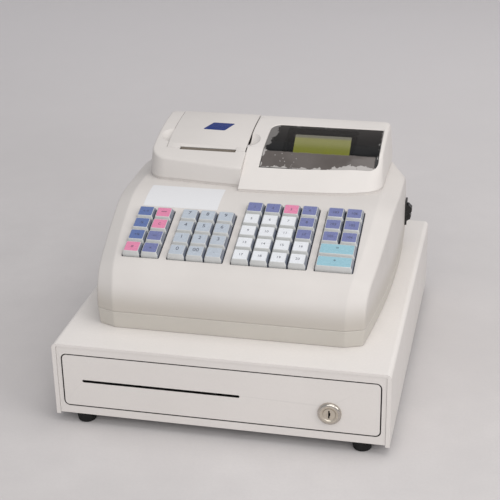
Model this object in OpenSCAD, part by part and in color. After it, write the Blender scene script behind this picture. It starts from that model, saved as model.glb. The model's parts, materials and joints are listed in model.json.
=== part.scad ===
// Ticket register: an electronic cash register on a steel cash drawer.
// X runs across the front, Y runs back, Z is up. The rest face is at Z = 0.
// Modules draw in case coordinates: Y from the case's front plane, Z from its lower edge.

/* [Cash drawer case] */
// Width of the drawer case
case_w = 340; // [330:1:380]
// Depth of the drawer case
case_d = 377; // [370:1:420]
// Height of the drawer case without its feet
case_h = 80.4; // [78:0.2:100]
// Thickness of the steel sheet
sheet = 1.2; // [0.8:0.1:1.6]
// Radius of the long upper edges of the case cover
cover_r = 5; // [3:0.5:8]
// Width of the hemmed edge at the front of the cover
hem_w = 4.2; // [3:0.2:6]
// Height of the rubber feet below the case
foot_h = 10; // [6:0.5:16]
// Diameter of a rubber foot
foot_d = 21; // [16:0.5:30]
// Distance of the front feet from the front plane
foot_set = 12; // [11:0.5:30]

/* [Drawer] */
// Width of the case beside the drawer opening
side_rail = 8.7; // [7:0.1:20]
// Height of the case above the drawer opening
top_rail = 10.6; // [9:0.1:14]
// Height of the opening's lower edge above the case's lower edge
opening_z = 10.2; // [8:0.2:11]
// Depth of the front frame
frame_d = 12; // [8:0.5:16]
// Gap around the drawer front
front_gap = 1.4; // [0.8:0.1:2.5]
// Corner radius of the drawer front
front_r = 4.5; // [2:0.5:8]
// Travel of the drawer
drawer_travel = 235; // [150:5:260]
// Width of the cheque slot
cheque_w = 162; // [120:1:170]
// Height of the cheque slot
cheque_h = 3; // [2:0.2:3.6]
// Distance of the cheque slot from the left edge of the drawer front
cheque_in = 19.6; // [14:0.2:30]
// Gap between a moving part and its guide
slide_gap = 0.3; // [0.2:0.05:0.5]

/* [Till tray] */
// Number of note bays
note_bays = 4; // [4:1:4]
// Number of coin bays in a row
coin_bays = 4; // [3:1:5]
// Height of the till tray
till_h = 40; // [30:1:44]
// Wall of the till tray
till_wall = 2.4; // [1.6:0.2:3]
// Depth of one coin bay
coin_d = 58; // [45:1:64]

/* [Lock] */
// Distance of the lock from the right edge of the drawer front
lock_in = 48.9; // [42:0.1:56]
// Height of the lock above the case's lower edge
lock_z = 32; // [30:0.5:34]
// Diameter of the lock bezel
bezel_d = 23.4; // [20:0.2:26]
// How far the lock bezel stands out of the front plane
lock_proud = 3; // [2:0.2:5]
// Diameter of the lock barrel
barrel_d = 18.8; // [16:0.2:19]
// Diameter of the turning plug
plug_d = 12.6; // [10:0.2:13]
// Radial running clearance of every pin and plug
run_gap = 0.06; // [0.03:0.01:0.1]

/* [Register body] */
// Distance of the register body behind the front plane
body_set = 43.5; // [30:0.5:50]
// Depth of the register body
body_d = 276.5; // [272:0.5:290]
// Greatest width of the register body
body_w = 300; // [296:1:310]
// Radius of the bowed side walls in plan
bow_r = 1380; // [1200:10:2000]
// Width of the flat upper face between the bevels
core_w = 263; // [258:1:268]
// Drop of the bevel below the upper face
bevel_drop = 7.5; // [5:0.5:9]
// Height of the lower shell
base_h = 18.6; // [14:0.2:24]
// Inward taper of the lower shell
base_in = 1.6; // [0:0.2:3]
// Height at which the keyboard slope would meet the front, above the case
nose_h = 55.7; // [52:0.5:60]
// Angle of the keyboard slope
slope = 18.5; // [17:0.5:20]
// Height of the flat deck above the case
deck_h = 99.1; // [96:0.5:104]
// Radius of the nose under the keyboard
knuckle_r = 42; // [34:1:48]
// Wall of the plastic shells
wall = 2.4; // [2:0.1:3]

/* [Keyboard] */
// Pitch of the key columns
pitch_x = 19.3; // [18.9:0.1:19.4]
// Pitch of the key rows
pitch_y = 18.35; // [18:0.05:18.5]
// Distance of the lowest key row up the slope from the front
keys_s = 34; // [33:0.5:36]
// Gap between neighbouring key caps
key_gap = 1; // [0.7:0.1:1.6]
// Height of the key caps above the panel
key_h = 6; // [4.5:0.5:7]
// Travel of a key
key_travel = 2.5; // [1.5:0.1:3]
// Width of the square key stem
stem_w = 6; // [4:0.2:8]

/* [Printer and display] */
// Distance of the printer housing behind the front of the body
printer_set = 157.3; // [156:0.1:160]
// Distance of the display housing behind the front of the body
display_set = 146; // [145:0.5:150]
// Left edge of the printer housing
printer_left = -129; // [-131:0.5:-128]
// Right edge of the display housing
display_right = 131.2; // [130:0.2:133]
// Height of the housings above the deck
housing_h = 44.8; // [42:0.2:48]
// Depth of the display housing's sloping front
show_front = 47.5; // [46:0.5:49]
// Height of the upright foot of the display housing
show_lip = 2; // [1.5:0.1:3]
// Distance of the lid behind the front of the printer housing
lid_set = 35.2; // [34:0.2:40]
// Distance of the finger scoops behind the front edge of the lid
scoop_set = 14.3; // [12:0.1:20]
// Half length of a finger scoop
scoop_half = 13; // [11:0.5:15]
// Reach of a finger scoop beside the lid
scoop_in = 11; // [9:0.5:12.5]
// Receipt slot width
slot_w = 61; // [58:0.5:62]
// Middle of the paper way
paper_x = -61.5; // [-63:0.5:-60]
// Diameter of the paper roll
roll_d = 52; // [40:1:54]
// Width of the paper roll
roll_w = 57.5; // [50:0.5:58]
// Left edge of the printer lid
lid_x0 = -110; // [-112:0.5:-108]
// Plane between the printer housing and the display housing
split_x = -20.5; // [-22:0.1:-20]
// Seam between a housing and what closes it
seam = 0.5; // [0.3:0.1:0.8]
// Diameter of the platen roller
platen_d = 10; // [8:0.5:11]
// Visible width of the display glass
lcd_w = 63; // [56:1:66]
// Visible height of the display glass
lcd_h = 25; // [16:1:26]
// Tilt of the display glass
lcd_tilt = 37; // [33:1:40]

/* [Power switch] */
// Height of the rocker switch plate
switch_h = 29; // [24:0.5:31]
// Width of the rocker switch plate
switch_w = 15; // [12:0.5:18]

/* [Hidden] */
key_digits = ["key_7", "key_8", "key_9", "key_4", "key_5", "key_6",
              "key_1", "key_2", "key_3", "key_0", "key_00", "key_point"];
$fn = 64;
eps = 0.01;

screw_head = 1.2;
front_y = -(case_d + screw_head - lock_proud) / 2;
far = 500;

// Case and drawer
frame_w = case_w - 2 * hem_w - 0.6;
frame_top = case_h - hem_w + 0.9;
frame_low = sheet + 0.8;
base_z = frame_low;
floor_z = base_z + sheet;
base_w = case_w - 2 * sheet - 0.4;
back_y = case_d - sheet - 0.2;
opening_w = case_w - 2 * side_rail;
opening_h = case_h - opening_z - top_rail;
panel_w = opening_w - 2 * front_gap;
panel_h = opening_h - 2 * front_gap;
panel_z = opening_z + front_gap;
panel_y = 0.8;
panel_d = frame_d;
runner_t = 6;
runner_h = 10;
rail_t = 1.4;
rail_reach = 4;
box_w = opening_w - 2 * runner_t - 3.6;
box_y = panel_y + panel_d;
box_len = case_d - box_y - 22;
box_back = box_y + box_len;
box_z = opening_z + 3;
box_h = opening_h - 8;
runner_x = box_w / 2;
rail_z = box_z + box_h / 2;
rail_y0 = frame_d + 2;
rail_y1 = back_y - 8;
rail_web_x = runner_x + runner_t + slide_gap;
rail_seat_x = base_w / 2 - sheet;
cheque_z = panel_z + panel_h / 2;
cheque_x = (cheque_w - panel_w) / 2 + cheque_in;
lock_x = panel_w / 2 - lock_in;

// Till tray
till_w = box_w - 2 * sheet - 1;
till_y0 = box_y + sheet + 14;
till_y1 = box_back - sheet - 1;
till_z = box_z + sheet;
coin_w = (till_w - (coin_bays + 1) * till_wall) / coin_bays;
note_w = (till_w - (note_bays + 1) * till_wall) / note_bays;
note_y0 = till_y0 + 3 * till_wall + 2 * coin_d;
clip_y = till_y1 - till_wall - 5;
clip_z = till_z + till_h - 6;
clip_r = 2;
clip_w = 22;
clip_len = 62;

// Lock and latch
cam_len = 26;
cam_y = box_y + sheet + 1.6;
cam_t = 2;
latch_y = box_back + 6;
latch_z = box_z + 22;
latch_x = 42;
latch_pin_r = 2;
latch_t = 3;
coil_r = 7;

// Register body
deck_z = case_h + deck_h;
seam_z = case_h + base_h;
nose_z = case_h + nose_h;
body_back = body_set + body_d;
blend_r = 120;
back_r = 14;
bevel_back_r = 40;
low_z = case_h + 4;
knuckle_c = [body_set + knuckle_r, nose_z + tan(slope) * knuckle_r - knuckle_r / cos(slope)];
deck_y = body_set + (deck_z - nose_z) / tan(slope);
blend_c = [deck_y + blend_r * tan(slope / 2), deck_z - blend_r];
bow_y = body_set + 0.71 * body_d;
core_y = body_set + 0.53 * body_d;
core_r = 820;
plan_steps = 18;

// Keyboard, measured along the slope and across it
board_n = -17;
mat_n = board_n + 1.6;
guide_n = -6.6;
guide_t = 2;
rim_gap = 1.1;
opening_gap = 0.4;
cap_low = -1.6;
stem_low = mat_n + 1.9 + key_travel;
banks = [[-97.2, 2, 4], [-40.4, 3, 4], [35.4, 4, 5], [101.2, 2, 5]];

// Printer and display housings
house_back = body_back - 2;
print_x0 = printer_left;
print_y0 = body_set + printer_set;
show_x1 = display_right;
show_y0 = body_set + display_set;
roof_r = 265;
roof_z = deck_z + housing_h;
show_roof_r = 290;
show_roof_y = house_back + 7;
show_up = 1.1;
show_bend = show_y0 + show_front;
show_lean = atan((show_roof(show_bend) - deck_z - show_lip) / show_front);
lid_y0 = print_y0 + lid_set;
hinge_y = house_back - 8;
hinge_z = deck_z + 12.5;
hinge_r = 2;
lid_t = wall;
lid_x1 = split_x - 1.1;
bay_y = house_back - 44;
bay_z = deck_z - 1;
bay_r = roll_d / 2 + 4;
platen_y = lid_y0 + platen_d / 2 + 0.9;
platen_z = deck_z + 21.5;
platen_shaft_r = 1.5;
ear_z0 = platen_z - 4;
cheek_in = 3.4;
cheek_t = 2.4;
scoop_y = lid_y0 + scoop_set;
scoop_r = (scoop_half * scoop_half + scoop_in * scoop_in) / (2 * scoop_in);
dish_r = 20;
dish_up = sqrt(dish_r * dish_r - scoop_r * scoop_r);
window_x0 = -3;
window_x1 = 124.6;
window_y0 = show_y0 + 26.5;
window_y1 = house_back - 28.5;
pane_set = 0.5;
pane_t = 2;
pane_gap = 0.2;
lcd_c = [57.8, show_y0 + 78.1, deck_z + 29.8];

// Power switch on the right wall
switch_y = body_set + 260;
switch_z = case_h + 42;

// ---------------------------------------------------------------- helpers
function arc(c, r, a0, a1, n) =
    [for (i = [0:n]) c + r * [cos(a0 + (a1 - a0) * i / n), sin(a0 + (a1 - a0) * i / n)]];
function wall_half(y) = body_w / 2 - pow(y - bow_y, 2) / (2 * bow_r);
function core_half(y) = core_w / 2 - pow(max(0, core_y - y), 2) / (2 * core_r);
function half_at(y, core) = core ? core_half(y) : wall_half(y);
function print_roof(y) = roof_z - roof_r + sqrt(roof_r * roof_r - pow(house_back - y, 2));
function show_roof(y) = roof_z + show_up - show_roof_r + sqrt(pow(show_roof_r, 2) - pow(show_roof_y - y, 2));

module in_place() translate([0, front_y, foot_h]) children();

// 2D shape in X and Z, extruded along Y from y0 to y1
module along_y(y0, y1) translate([0, y1, 0]) rotate([90, 0, 0]) linear_extrude(y1 - y0) children();

// 2D shape in Y and Z, extruded along X from x0 to x1
module along_x(x0, x1) translate([x0, 0, 0]) rotate([90, 0, 90]) linear_extrude(x1 - x0) children();

module round_box(w, h, r) {
    square([w - 2 * r, h], center = true);
    square([w, h - 2 * r], center = true);
    for (x = [-1, 1], y = [-1, 1])
        translate([x * (w / 2 - r), y * (h / 2 - r)]) circle(r);
}

module arch(w, h, r) {
    translate([-w / 2, 0]) square([w, h - r]);
    translate([-w / 2 + r, 0]) square([w - 2 * r, h]);
    for (x = [-1, 1]) translate([x * (w / 2 - r), h - r]) circle(r);
}

module block(x0, x1, y0, y1, z0, z1) translate([x0, y0, z0]) cube([x1 - x0, y1 - y0, z1 - z0]);

// A bar with its axis along X, Y or Z
module rod_x(r, x0, x1, y, z) translate([x0, y, z]) rotate([0, 90, 0]) cylinder(r = r, h = x1 - x0);
module rod_y(r, y0, y1, x, z) translate([x, y0, z]) rotate([-90, 0, 0]) cylinder(r = r, h = y1 - y0);
module rod_z(r, z0, z1, x, y) translate([x, y, z0]) cylinder(r = r, h = z1 - z0);

// ---------------------------------------------------------------- drawer case
cover_screw_x = [-130, -45, 45, 130];
cover_screw_z = 8 + frame_low;

module case_cover() color([0.93, 0.93, 0.91]) in_place() {
    difference() {
        along_y(0, case_d) arch(case_w, case_h, cover_r);
        along_y(-1, case_d - sheet) translate([0, -1]) arch(case_w - 2 * sheet, case_h - sheet + 1, cover_r - sheet);
        along_y(case_d - 2 * sheet, case_d + 1) translate([-case_w / 2 + 14, -1]) square([case_w - 28, case_h - 13]);
        block(-far, far, case_d - sheet - eps, far, -1, frame_low - 0.4);
        for (x = [-1, 1], z = [0.3, 0.7]) rod_y(1.7, case_d - 5, case_d + 5, x * (case_w / 2 - 8), z * case_h);
    }
    along_y(0, 2) difference() {
        arch(case_w - 2 * sheet + eps, case_h - sheet + eps, cover_r - sheet);
        translate([0, -1]) arch(frame_w + 0.6, frame_top + 1.3, 1.5);
    }
}

module case_base() color([0.80, 0.81, 0.80]) in_place() difference() {
    union() {
        block(-base_w / 2, base_w / 2, 2.6, back_y, base_z, floor_z);
        for (s = [-1, 1]) {
            translate([s * (base_w / 2 - sheet / 2), 0, 0])
                block(-sheet / 2, sheet / 2, frame_d + 1, back_y, base_z, case_h - sheet - cover_r);
        }
        block(-base_w / 2, base_w / 2, back_y - sheet, back_y, base_z, case_h - sheet - cover_r);
    }
    for (x = [-1, 1], y = [foot_set, case_d - foot_set - 4])
        rod_z(2.1, base_z - 1, floor_z + 1, x * (case_w / 2 - 28), y);
    for (x = [-1, 1], z = [0.3, 0.7]) rod_y(1.6, back_y - 5, back_y + 5, x * (case_w / 2 - 8), z * case_h);
}

module frame_opening(grow) translate([0, opening_z + opening_h / 2])
    round_box(opening_w + 2 * grow, opening_h + 2 * grow, front_r + front_gap + grow);

module front_frame() color([0.93, 0.93, 0.91]) in_place() difference() {
    along_y(0.6, frame_d + 0.6) translate([0, frame_low]) arch(frame_w, frame_top - frame_low, 1.6);
    along_y(-1, frame_d + 2) frame_opening(0);
    along_y(0.6 + sheet, frame_d + 2) difference() {
        translate([0, frame_low - 1]) square([frame_w - 2 * sheet, 2 * (frame_top - frame_low - sheet + 1)], center = true);
        frame_opening(sheet);
    }
    block(-frame_w, frame_w, 2.4, frame_d + 2, frame_low - 1, floor_z + 0.1);
}

module drawer_front() color([0.94, 0.94, 0.92]) in_place() difference() {
    along_y(panel_y, panel_y + panel_d) translate([0, cheque_z]) round_box(panel_w, panel_h, front_r);
    along_y(panel_y + 1.6, panel_y + panel_d + 1)
        translate([0, cheque_z]) round_box(panel_w - 3.2, panel_h - 3.2, front_r - 1.6);
    along_y(panel_y - 1, panel_y + 3)
        translate([cheque_x, cheque_z]) round_box(cheque_w, cheque_h, cheque_h / 2 - 0.1);
    rod_y(barrel_d / 2 + 0.1, panel_y - 1, panel_y + 3, lock_x, lock_z);
}

module drawer_box() color([0.74, 0.75, 0.75]) in_place() {
    difference() {
        block(-box_w / 2, box_w / 2, box_y, box_back, box_z, box_z + box_h);
        block(-box_w / 2 + sheet, box_w / 2 - sheet, box_y + sheet, box_back - sheet, box_z + sheet, far);
        block(cheque_x - cheque_w / 2, cheque_x + cheque_w / 2, box_y - 1, box_y + 3, cheque_z - 3, cheque_z + 3);
        rod_y(barrel_d / 2 + 0.1, box_y - 1, box_y + 3, lock_x, lock_z);
        block(lock_x - cam_len, lock_x + 8, cam_y - 1.5, cam_y + cam_t + 1.5, box_z - 1, box_z + sheet + 1);
    }
    difference() {
        block(-14, 14, box_back - eps, latch_y + 7, latch_z, latch_z + sheet);
        block(-8, 8, latch_y - 0.8, latch_y + latch_t + 0.8, latch_z - 1, latch_z + sheet + 1);
    }
}

module till_tray() color([0.12, 0.12, 0.13]) in_place() difference() {
    block(-till_w / 2, till_w / 2, till_y0, till_y1, till_z, till_z + till_h);
    for (i = [0:coin_bays - 1], j = [0, 1])
        translate([-till_w / 2 + till_wall + i * (coin_w + till_wall),
                   till_y0 + till_wall + j * (coin_d + till_wall), till_z + till_wall])
            cube([coin_w, coin_d, till_h]);
    for (i = [0:note_bays - 1])
        translate([-till_w / 2 + till_wall + i * (note_w + till_wall), note_y0, till_z + till_wall])
            cube([note_w, till_y1 - till_wall - note_y0, till_h]);
    for (i = [0:note_bays - 1])
        rod_x(clip_r + run_gap, clip_x(i) - note_w / 2 - till_wall / 2 + 0.15,
              clip_x(i) + note_w / 2 + till_wall / 2 - 0.15, clip_y, clip_z);
}

function clip_x(i) = -till_w / 2 + till_wall + note_w / 2 + i * (note_w + till_wall);

// A sprung note clip: a cross pin, a sloping arm and a pad
module note_clip(i) color([0.20, 0.20, 0.22]) in_place() translate([clip_x(i), clip_y, clip_z]) {
    pad_z = till_z + till_wall + 3 - clip_z;
    rod_x(clip_r, -note_w / 2 - till_wall / 2 + 0.3, note_w / 2 + till_wall / 2 - 0.3, 0, 0);
    difference() {
        rod_x(clip_r + 1.8, -clip_w / 2, clip_w / 2, 0, 0);
        rod_x(clip_r - 0.2, -clip_w, clip_w, 0, 0);
    }
    along_x(-clip_w / 2 + 4, clip_w / 2 - 4)
        polygon([[0, 3.4], [0, 1], [-clip_len + 10, pad_z - 2], [-clip_len, pad_z - 2],
                 [-clip_len, pad_z + 0.4], [-clip_len + 10.6, pad_z + 0.4]]);
    along_x(-clip_w / 2, clip_w / 2)
        polygon([[-clip_len - 8, pad_z], [-clip_len - 6, pad_z - 2.4], [-clip_len + 11, pad_z - 2.4],
                 [-clip_len + 11, pad_z]]);
}

module slide_rails() color([0.66, 0.67, 0.68]) in_place() for (s = [0, 1]) mirror([s, 0, 0]) {
    in_x = runner_x + runner_t - rail_reach;
    gap = slide_gap;
    along_y(rail_y0, rail_y1) translate([rail_web_x, rail_z - runner_h / 2 - gap - rail_t])
        square([rail_t, runner_h + 2 * gap + 2 * rail_t]);
    for (t = [0, 1])
        along_y(rail_y0, rail_y1)
            translate([in_x, rail_z - runner_h / 2 - gap - rail_t + t * (runner_h + 2 * gap + rail_t)])
                square([rail_web_x - in_x + eps, rail_t]);
    for (y = [rail_y0 + 10, (rail_y0 + rail_y1) / 2 - 6, rail_y1 - 22])
        block(rail_web_x + rail_t - eps, rail_seat_x, y, y + 12, rail_z - 5, rail_z + 5);
}

module drawer_runners() color([0.90, 0.90, 0.86]) in_place() for (s = [0, 1]) mirror([s, 0, 0])
    block(runner_x, runner_x + runner_t, rail_y0 + 2, box_back - 4, rail_z - runner_h / 2, rail_z + runner_h / 2);

module lock_bezel() color([0.82, 0.83, 0.84]) in_place() difference() {
    translate([lock_x, 0, lock_z]) rotate([-90, 0, 0]) rotate_extrude($fn = 96)
        polygon(concat([[plug_d / 2 + run_gap, panel_y + panel_d + 2], [plug_d / 2 + run_gap, -lock_proud + 0.8],
                        [plug_d / 2 + 1.2, -lock_proud + 0.2], [plug_d / 2 + 2, -lock_proud]],
                       arc([bezel_d / 2 - 2.2, -lock_proud + 2.2], 2.2, 270, 360, 6),
                       [[bezel_d / 2, panel_y], [barrel_d / 2, panel_y], [barrel_d / 2, panel_y + panel_d + 2]]));
}

module lock_plug() color([0.70, 0.68, 0.64]) in_place() difference() {
    union() {
        rod_y(plug_d / 2, -lock_proud + 0.5, cam_y, lock_x, lock_z);
        translate([lock_x - 2.5, cam_y - eps, lock_z - 2.5]) cube([5, cam_t + 2, 5]);
    }
    translate([lock_x - 0.9, -lock_proud - 1, lock_z - 4.2]) cube([1.3, 9, 8.4]);
    translate([lock_x - 0.2, -lock_proud - 1, lock_z - 1.4]) cube([1.3, 9, 3.6]);
}

// The cam points towards the middle when the drawer is unlocked
module lock_cam() color([0.72, 0.72, 0.70]) in_place() difference() {
    along_y(cam_y, cam_y + cam_t) {
        translate([lock_x, lock_z]) circle(7);
        translate([lock_x - cam_len, lock_z - 4.5]) square([cam_len, 9]);
    }
    translate([lock_x - 2.5, cam_y - 1, lock_z - 2.5]) cube([5, cam_t + 2, 5]);
}

// ---------------------------------------------------------------- latch at the back of the case
module latch_solenoid() color([0.55, 0.42, 0.20]) in_place() {
    rod_z(coil_r, floor_z + 2, floor_z + 22, latch_x + 26, latch_y + 2.5);
    rod_z(2.2, floor_z + 22 - eps, latch_z - 3.9, latch_x + 26, latch_y + 1.5);
    block(latch_x - 8, latch_x + 38, latch_y - 4.5, latch_y + 13.2, floor_z, floor_z + 2 + eps);
    block(latch_x - 8, latch_x + 8, latch_y + latch_t + 2, latch_y + latch_t + 4, floor_z + 1, latch_z + 12);
    rod_y(latch_pin_r, latch_y - 2, latch_y + latch_t + 3, latch_x, latch_z + 6);
    rod_y(4, latch_y + latch_t + slide_gap, latch_y + latch_t + 3, latch_x, latch_z + 6);
}

// Hook drawn released, its nose just clear of the striker slot
module latch_hook() color([0.68, 0.69, 0.70]) in_place() difference() {
    along_y(latch_y, latch_y + latch_t) {
        translate([latch_x, latch_z + 6]) circle(6);
        translate([0, latch_z + 6]) square([latch_x, 4]);
        translate([-4, latch_z + sheet + 0.5]) square([6, 9.5 - sheet]);
        translate([latch_x, latch_z]) polygon([[0, 2], [31, -4], [31, 0], [0, 11]]);
    }
    rod_y(latch_pin_r + run_gap, latch_y - 1, latch_y + latch_t + 1, latch_x, latch_z + 6);
}

module eject_spring() color([0.60, 0.60, 0.62]) in_place() {
    len = back_y - sheet - box_back - 0.3;
    turns = 5;
    for (i = [0:turns - 1]) translate([-70, box_back + 0.3 + 0.8 + i * (len - 1.6) / (turns - 1), rail_z])
        rotate([90, 0, 0]) rotate_extrude($fn = 40) translate([6, 0]) circle(0.8, $fn = 20);
    rod_y(0.7, box_back + 1, box_back + len, -64, rail_z);
}

module rubber_feet() color([0.10, 0.10, 0.11]) in_place()
    for (x = [-1, 1], y = [foot_set, case_d - foot_set - 4])
        translate([x * (case_w / 2 - 28), y, 0]) rotate_extrude($fn = 64)
            polygon(concat([[3.2, -foot_h]], arc([foot_d / 2 - 3.2, -foot_h + 2], 2, 270, 355, 5),
                           [[foot_d / 2, base_z], [2.2, base_z], [2.2, -foot_h + 4], [3.2, -foot_h + 3.4]]));

module case_screws() color([0.70, 0.71, 0.72]) in_place() {
    for (x = [-1, 1], y = [foot_set, case_d - foot_set - 4])
        translate([x * (case_w / 2 - 28), y, 0]) {
            rod_z(2, -foot_h + 3.4, floor_z, 0, 0);
            rod_z(3, -foot_h + 1.6, -foot_h + 3.4, 0, 0);
        }
    for (x = [-1, 1], z = [0.3, 0.7]) {
        rod_y(1.5, back_y - sheet - 3, case_d + 0.1, x * (case_w / 2 - 8), z * case_h);
        rod_y(3, case_d, case_d + screw_head, x * (case_w / 2 - 8), z * case_h);
    }
}

// ---------------------------------------------------------------- register body
// Side outline of the body moved inwards by e, with radius rb at its upper back edge
function side_points(e, rb) = concat(
    [[body_set + e, low_z]],
    arc(knuckle_c, knuckle_r - e, 180, 90 + slope, 14),
    arc(blend_c, blend_r - e, 90 + slope, 90, 8),
    arc([body_back - e - rb, deck_z - e - rb], rb, 90, 0, 8),
    [[body_back - e, low_z]]);

// Plan outline of the body, of its flat upper face or of its walls
module body_plan(core, e) {
    step = (body_d + 10) / plan_steps;
    ys = [for (i = [0:plan_steps]) body_set - 5 + i * step];
    polygon(concat([for (y = ys) [half_at(y, core) - e, y]],
                   [for (i = [plan_steps:-1:0]) [e - half_at(ys[i], core), ys[i]]]));
}

module body_slab(core, e) intersection() {
    along_x(-body_w, body_w)
        polygon(side_points(core ? e : e + bevel_drop, (core ? back_r : bevel_back_r) - e));
    linear_extrude(deck_z + 20) body_plan(core, e);
}

module body_form(e) hull() {
    body_slab(true, e);
    body_slab(false, e);
}

module seam_outline(e) {
    y0 = body_set + bevel_drop;
    y1 = body_back - bevel_drop;
    ys = [for (i = [0:plan_steps]) y0 + (y1 - y0) * i / plan_steps];
    right = concat([[core_half(body_set) - e, body_set + e]],
                   [for (y = ys) [wall_half(y) - e, min(max(y, body_set + bevel_drop + e / 2), y1 - e / 2)]],
                   [[core_half(body_back) - e, body_back - e]]);
    polygon(concat(right, [for (i = [len(right) - 1:-1:0]) [-right[i][0], right[i][1]]]));
}

module base_form(e, z0, z1) hull() {
    translate([0, 0, z1 - 0.1]) linear_extrude(0.1) seam_outline(e);
    translate([0, 0, z0]) linear_extrude(0.1) seam_outline(e + base_in);
}

post_r = 4;
post_xy = [[-112, body_set + 16], [112, body_set + 16], [-122, body_set + 150], [122, body_set + 150],
           [-112, body_back - 14], [112, body_back - 14]];
board_z = case_h + wall + 8;

module lower_shell() color([0.86, 0.85, 0.80]) in_place() difference() {
    union() {
        difference() {
            base_form(0, case_h, seam_z);
            base_form(wall, case_h + wall, seam_z + 1);
        }
        for (p = post_xy) rod_z(post_r, case_h + wall - eps, seam_z, p[0], p[1]);
        for (x = [-96, 96], y = [body_set + 70, body_set + 190])
            rod_z(3, case_h + wall - eps, board_z, x, y);
    }
    for (p = post_xy) {
        rod_z(1.7, case_h - 1, seam_z + 1, p[0], p[1]);
        rod_z(3.4, case_h - 1, case_h + 3, p[0], p[1]);
    }
}

// Places children on the keyboard slope: X across, Y up the slope, Z out of the panel
module on_slope() translate([0, body_set, nose_z]) rotate([slope, 0, 0]) children();

module bank_shape(b, grow) translate([b[0] - b[1] * pitch_x / 2 - grow, keys_s - grow])
    square([b[1] * pitch_x + 2 * grow, b[2] * pitch_y + 2 * grow]);

module upper_shell() color([0.90, 0.89, 0.85]) in_place() difference() {
    union() {
        difference() {
            intersection() {
                body_form(0);
                block(-far, far, -far, far, seam_z, far);
            }
            body_form(wall);
        }
        intersection() {
            body_form(wall / 2);
            for (p = post_xy) rod_z(post_r, seam_z, deck_z, p[0], p[1]);
        }
    }
    on_slope() translate([0, 0, -8]) linear_extrude(16) for (b = banks) bank_shape(b, opening_gap);
    block(paper_x - slot_w / 2 - 3.2, paper_x + slot_w / 2 + 3.2, bay_y - bay_r - 3, bay_y + bay_r + 3,
          deck_z - 10, deck_z + 5);
    block(20, 88, show_y0 + 40, show_y0 + 66, deck_z - 10, deck_z + 5);
    for (p = post_xy) rod_z(1.56, seam_z - 1, seam_z + 18, p[0], p[1]);
    switch_place() block(-switch_w / 2 + 1.5, switch_w / 2 - 1.5, -switch_h / 2 + 1.5, switch_h / 2 - 1.5, -9, 9);
    block(inlet_x - 14, inlet_x + 14, body_back - 12, body_back + 5, inlet_z - 10.5, inlet_z + 10.5);
}

// ---------------------------------------------------------------- keyboard
module key_guide_shape() difference() {
    translate([-118, keys_s - 3]) square([241, 5 * pitch_y + 6]);
    for (b = banks, c = [0:b[1] - 1], r = [0:b[2] - 1])
        translate([key_x(b, c), key_s(r)]) square(stem_w + 2 * slide_gap, center = true);
}

function key_x(b, c) = b[0] + (c - (b[1] - 1) / 2) * pitch_x;
function key_s(r) = keys_s + (r + 0.5) * pitch_y;

module key_frame() color([0.24, 0.27, 0.33]) in_place() on_slope() {
    translate([0, 0, guide_n]) linear_extrude(guide_t) key_guide_shape();
    difference() {
        translate([0, 0, guide_n + guide_t - eps]) linear_extrude(-wall - rim_gap - guide_n - guide_t) intersection() {
            translate([-118, keys_s - 3]) square([241, 5 * pitch_y + 6]);
            for (b = banks) difference() {
                bank_shape(b, 2.4);
                bank_shape(b, opening_gap + 0.6);
            }
        }
        for (b = banks) translate([0, 0, guide_n + guide_t]) linear_extrude(10) bank_shape(b, opening_gap + 0.4);
    }
    for (x = [-110, 0, 115]) translate([x - 3, keys_s - 3, board_n + 1.6])
        cube([6, 3, guide_n - board_n - 1.6 + eps]);
}

module key_mat() color([0.55, 0.56, 0.58]) in_place() on_slope() translate([0, 0, mat_n]) {
    translate([-116, keys_s + 0.5, 0]) cube([237, 5 * pitch_y - 1, 1]);
    for (b = banks, c = [0:b[1] - 1], r = [0:b[2] - 1])
        translate([key_x(b, c), key_s(r), 0]) cylinder(r1 = 5.5, r2 = 3.5, h = 1.8, $fn = 24);
}

module key_board() color([0.12, 0.36, 0.20]) in_place() on_slope()
    translate([-118, keys_s - 3, board_n]) cube([241, 5 * pitch_y + 6, 1.6]);

// One key cap: a skirt in the panel opening, a tapered cap and a square stem.
// The cell covers cols by rows of the key grid.
module key_cap(x, s, cols) translate([x, s, 0]) {
    w = cols * pitch_x - key_gap;
    d = pitch_y - key_gap;
    top_in = 1.9;
    hull() {
        translate([-w / 2, -d / 2, cap_low]) cube([w, d, 2.6 - cap_low]);
        translate([-w / 2 + top_in, -d / 2 + top_in, key_h - 0.8]) cube([w - 2 * top_in, d - 2 * top_in, 0.1]);
        translate([-w / 2 + top_in + 0.7, -d / 2 + top_in + 0.7, key_h - 0.1])
            cube([w - 2 * top_in - 1.4, d - 2 * top_in - 1.4, 0.1]);
    }
    for (c = [0:cols - 1])
        translate([(c - (cols - 1) / 2) * pitch_x - stem_w / 2, -stem_w / 2, stem_low])
            cube([stem_w, stem_w, cap_low - stem_low + eps]);
}

module bank_key(bank, c, r, cols = 1)
    in_place() on_slope() key_cap(key_x(banks[bank], c) + (cols - 1) * pitch_x / 2, key_s(r), cols);

// Digits run 7 8 9 on the top row down to 0 00 . on the lowest
module digit_key(i) color([0.62, 0.66, 0.70]) bank_key(1, i % 3, 3 - floor(i / 3));
module left_keys(c) color([0.60, 0.62, 0.76]) for (r = [0:3]) bank_key(0, c, r);
module dept_keys(c) color([0.90, 0.91, 0.93]) for (r = [0:4]) bank_key(2, c, r);
module side_keys(c) color([0.58, 0.60, 0.76]) for (r = [2:4]) bank_key(3, c, r);
module wide_key(r) color([0.62, 0.78, 0.86]) bank_key(3, 0, r, 2);

// ---------------------------------------------------------------- printer
// Plan of the printer housing, its outer sides moved inwards by e
module print_plan(e) polygon(concat(
    [[split_x, house_back - e], [split_x, print_y0 + e]],
    arc([print_x0 + 24, print_y0 + 32.5], 24 - e, 264, 180, 12),
    [[print_x0 + e, house_back - e]]));

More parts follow.
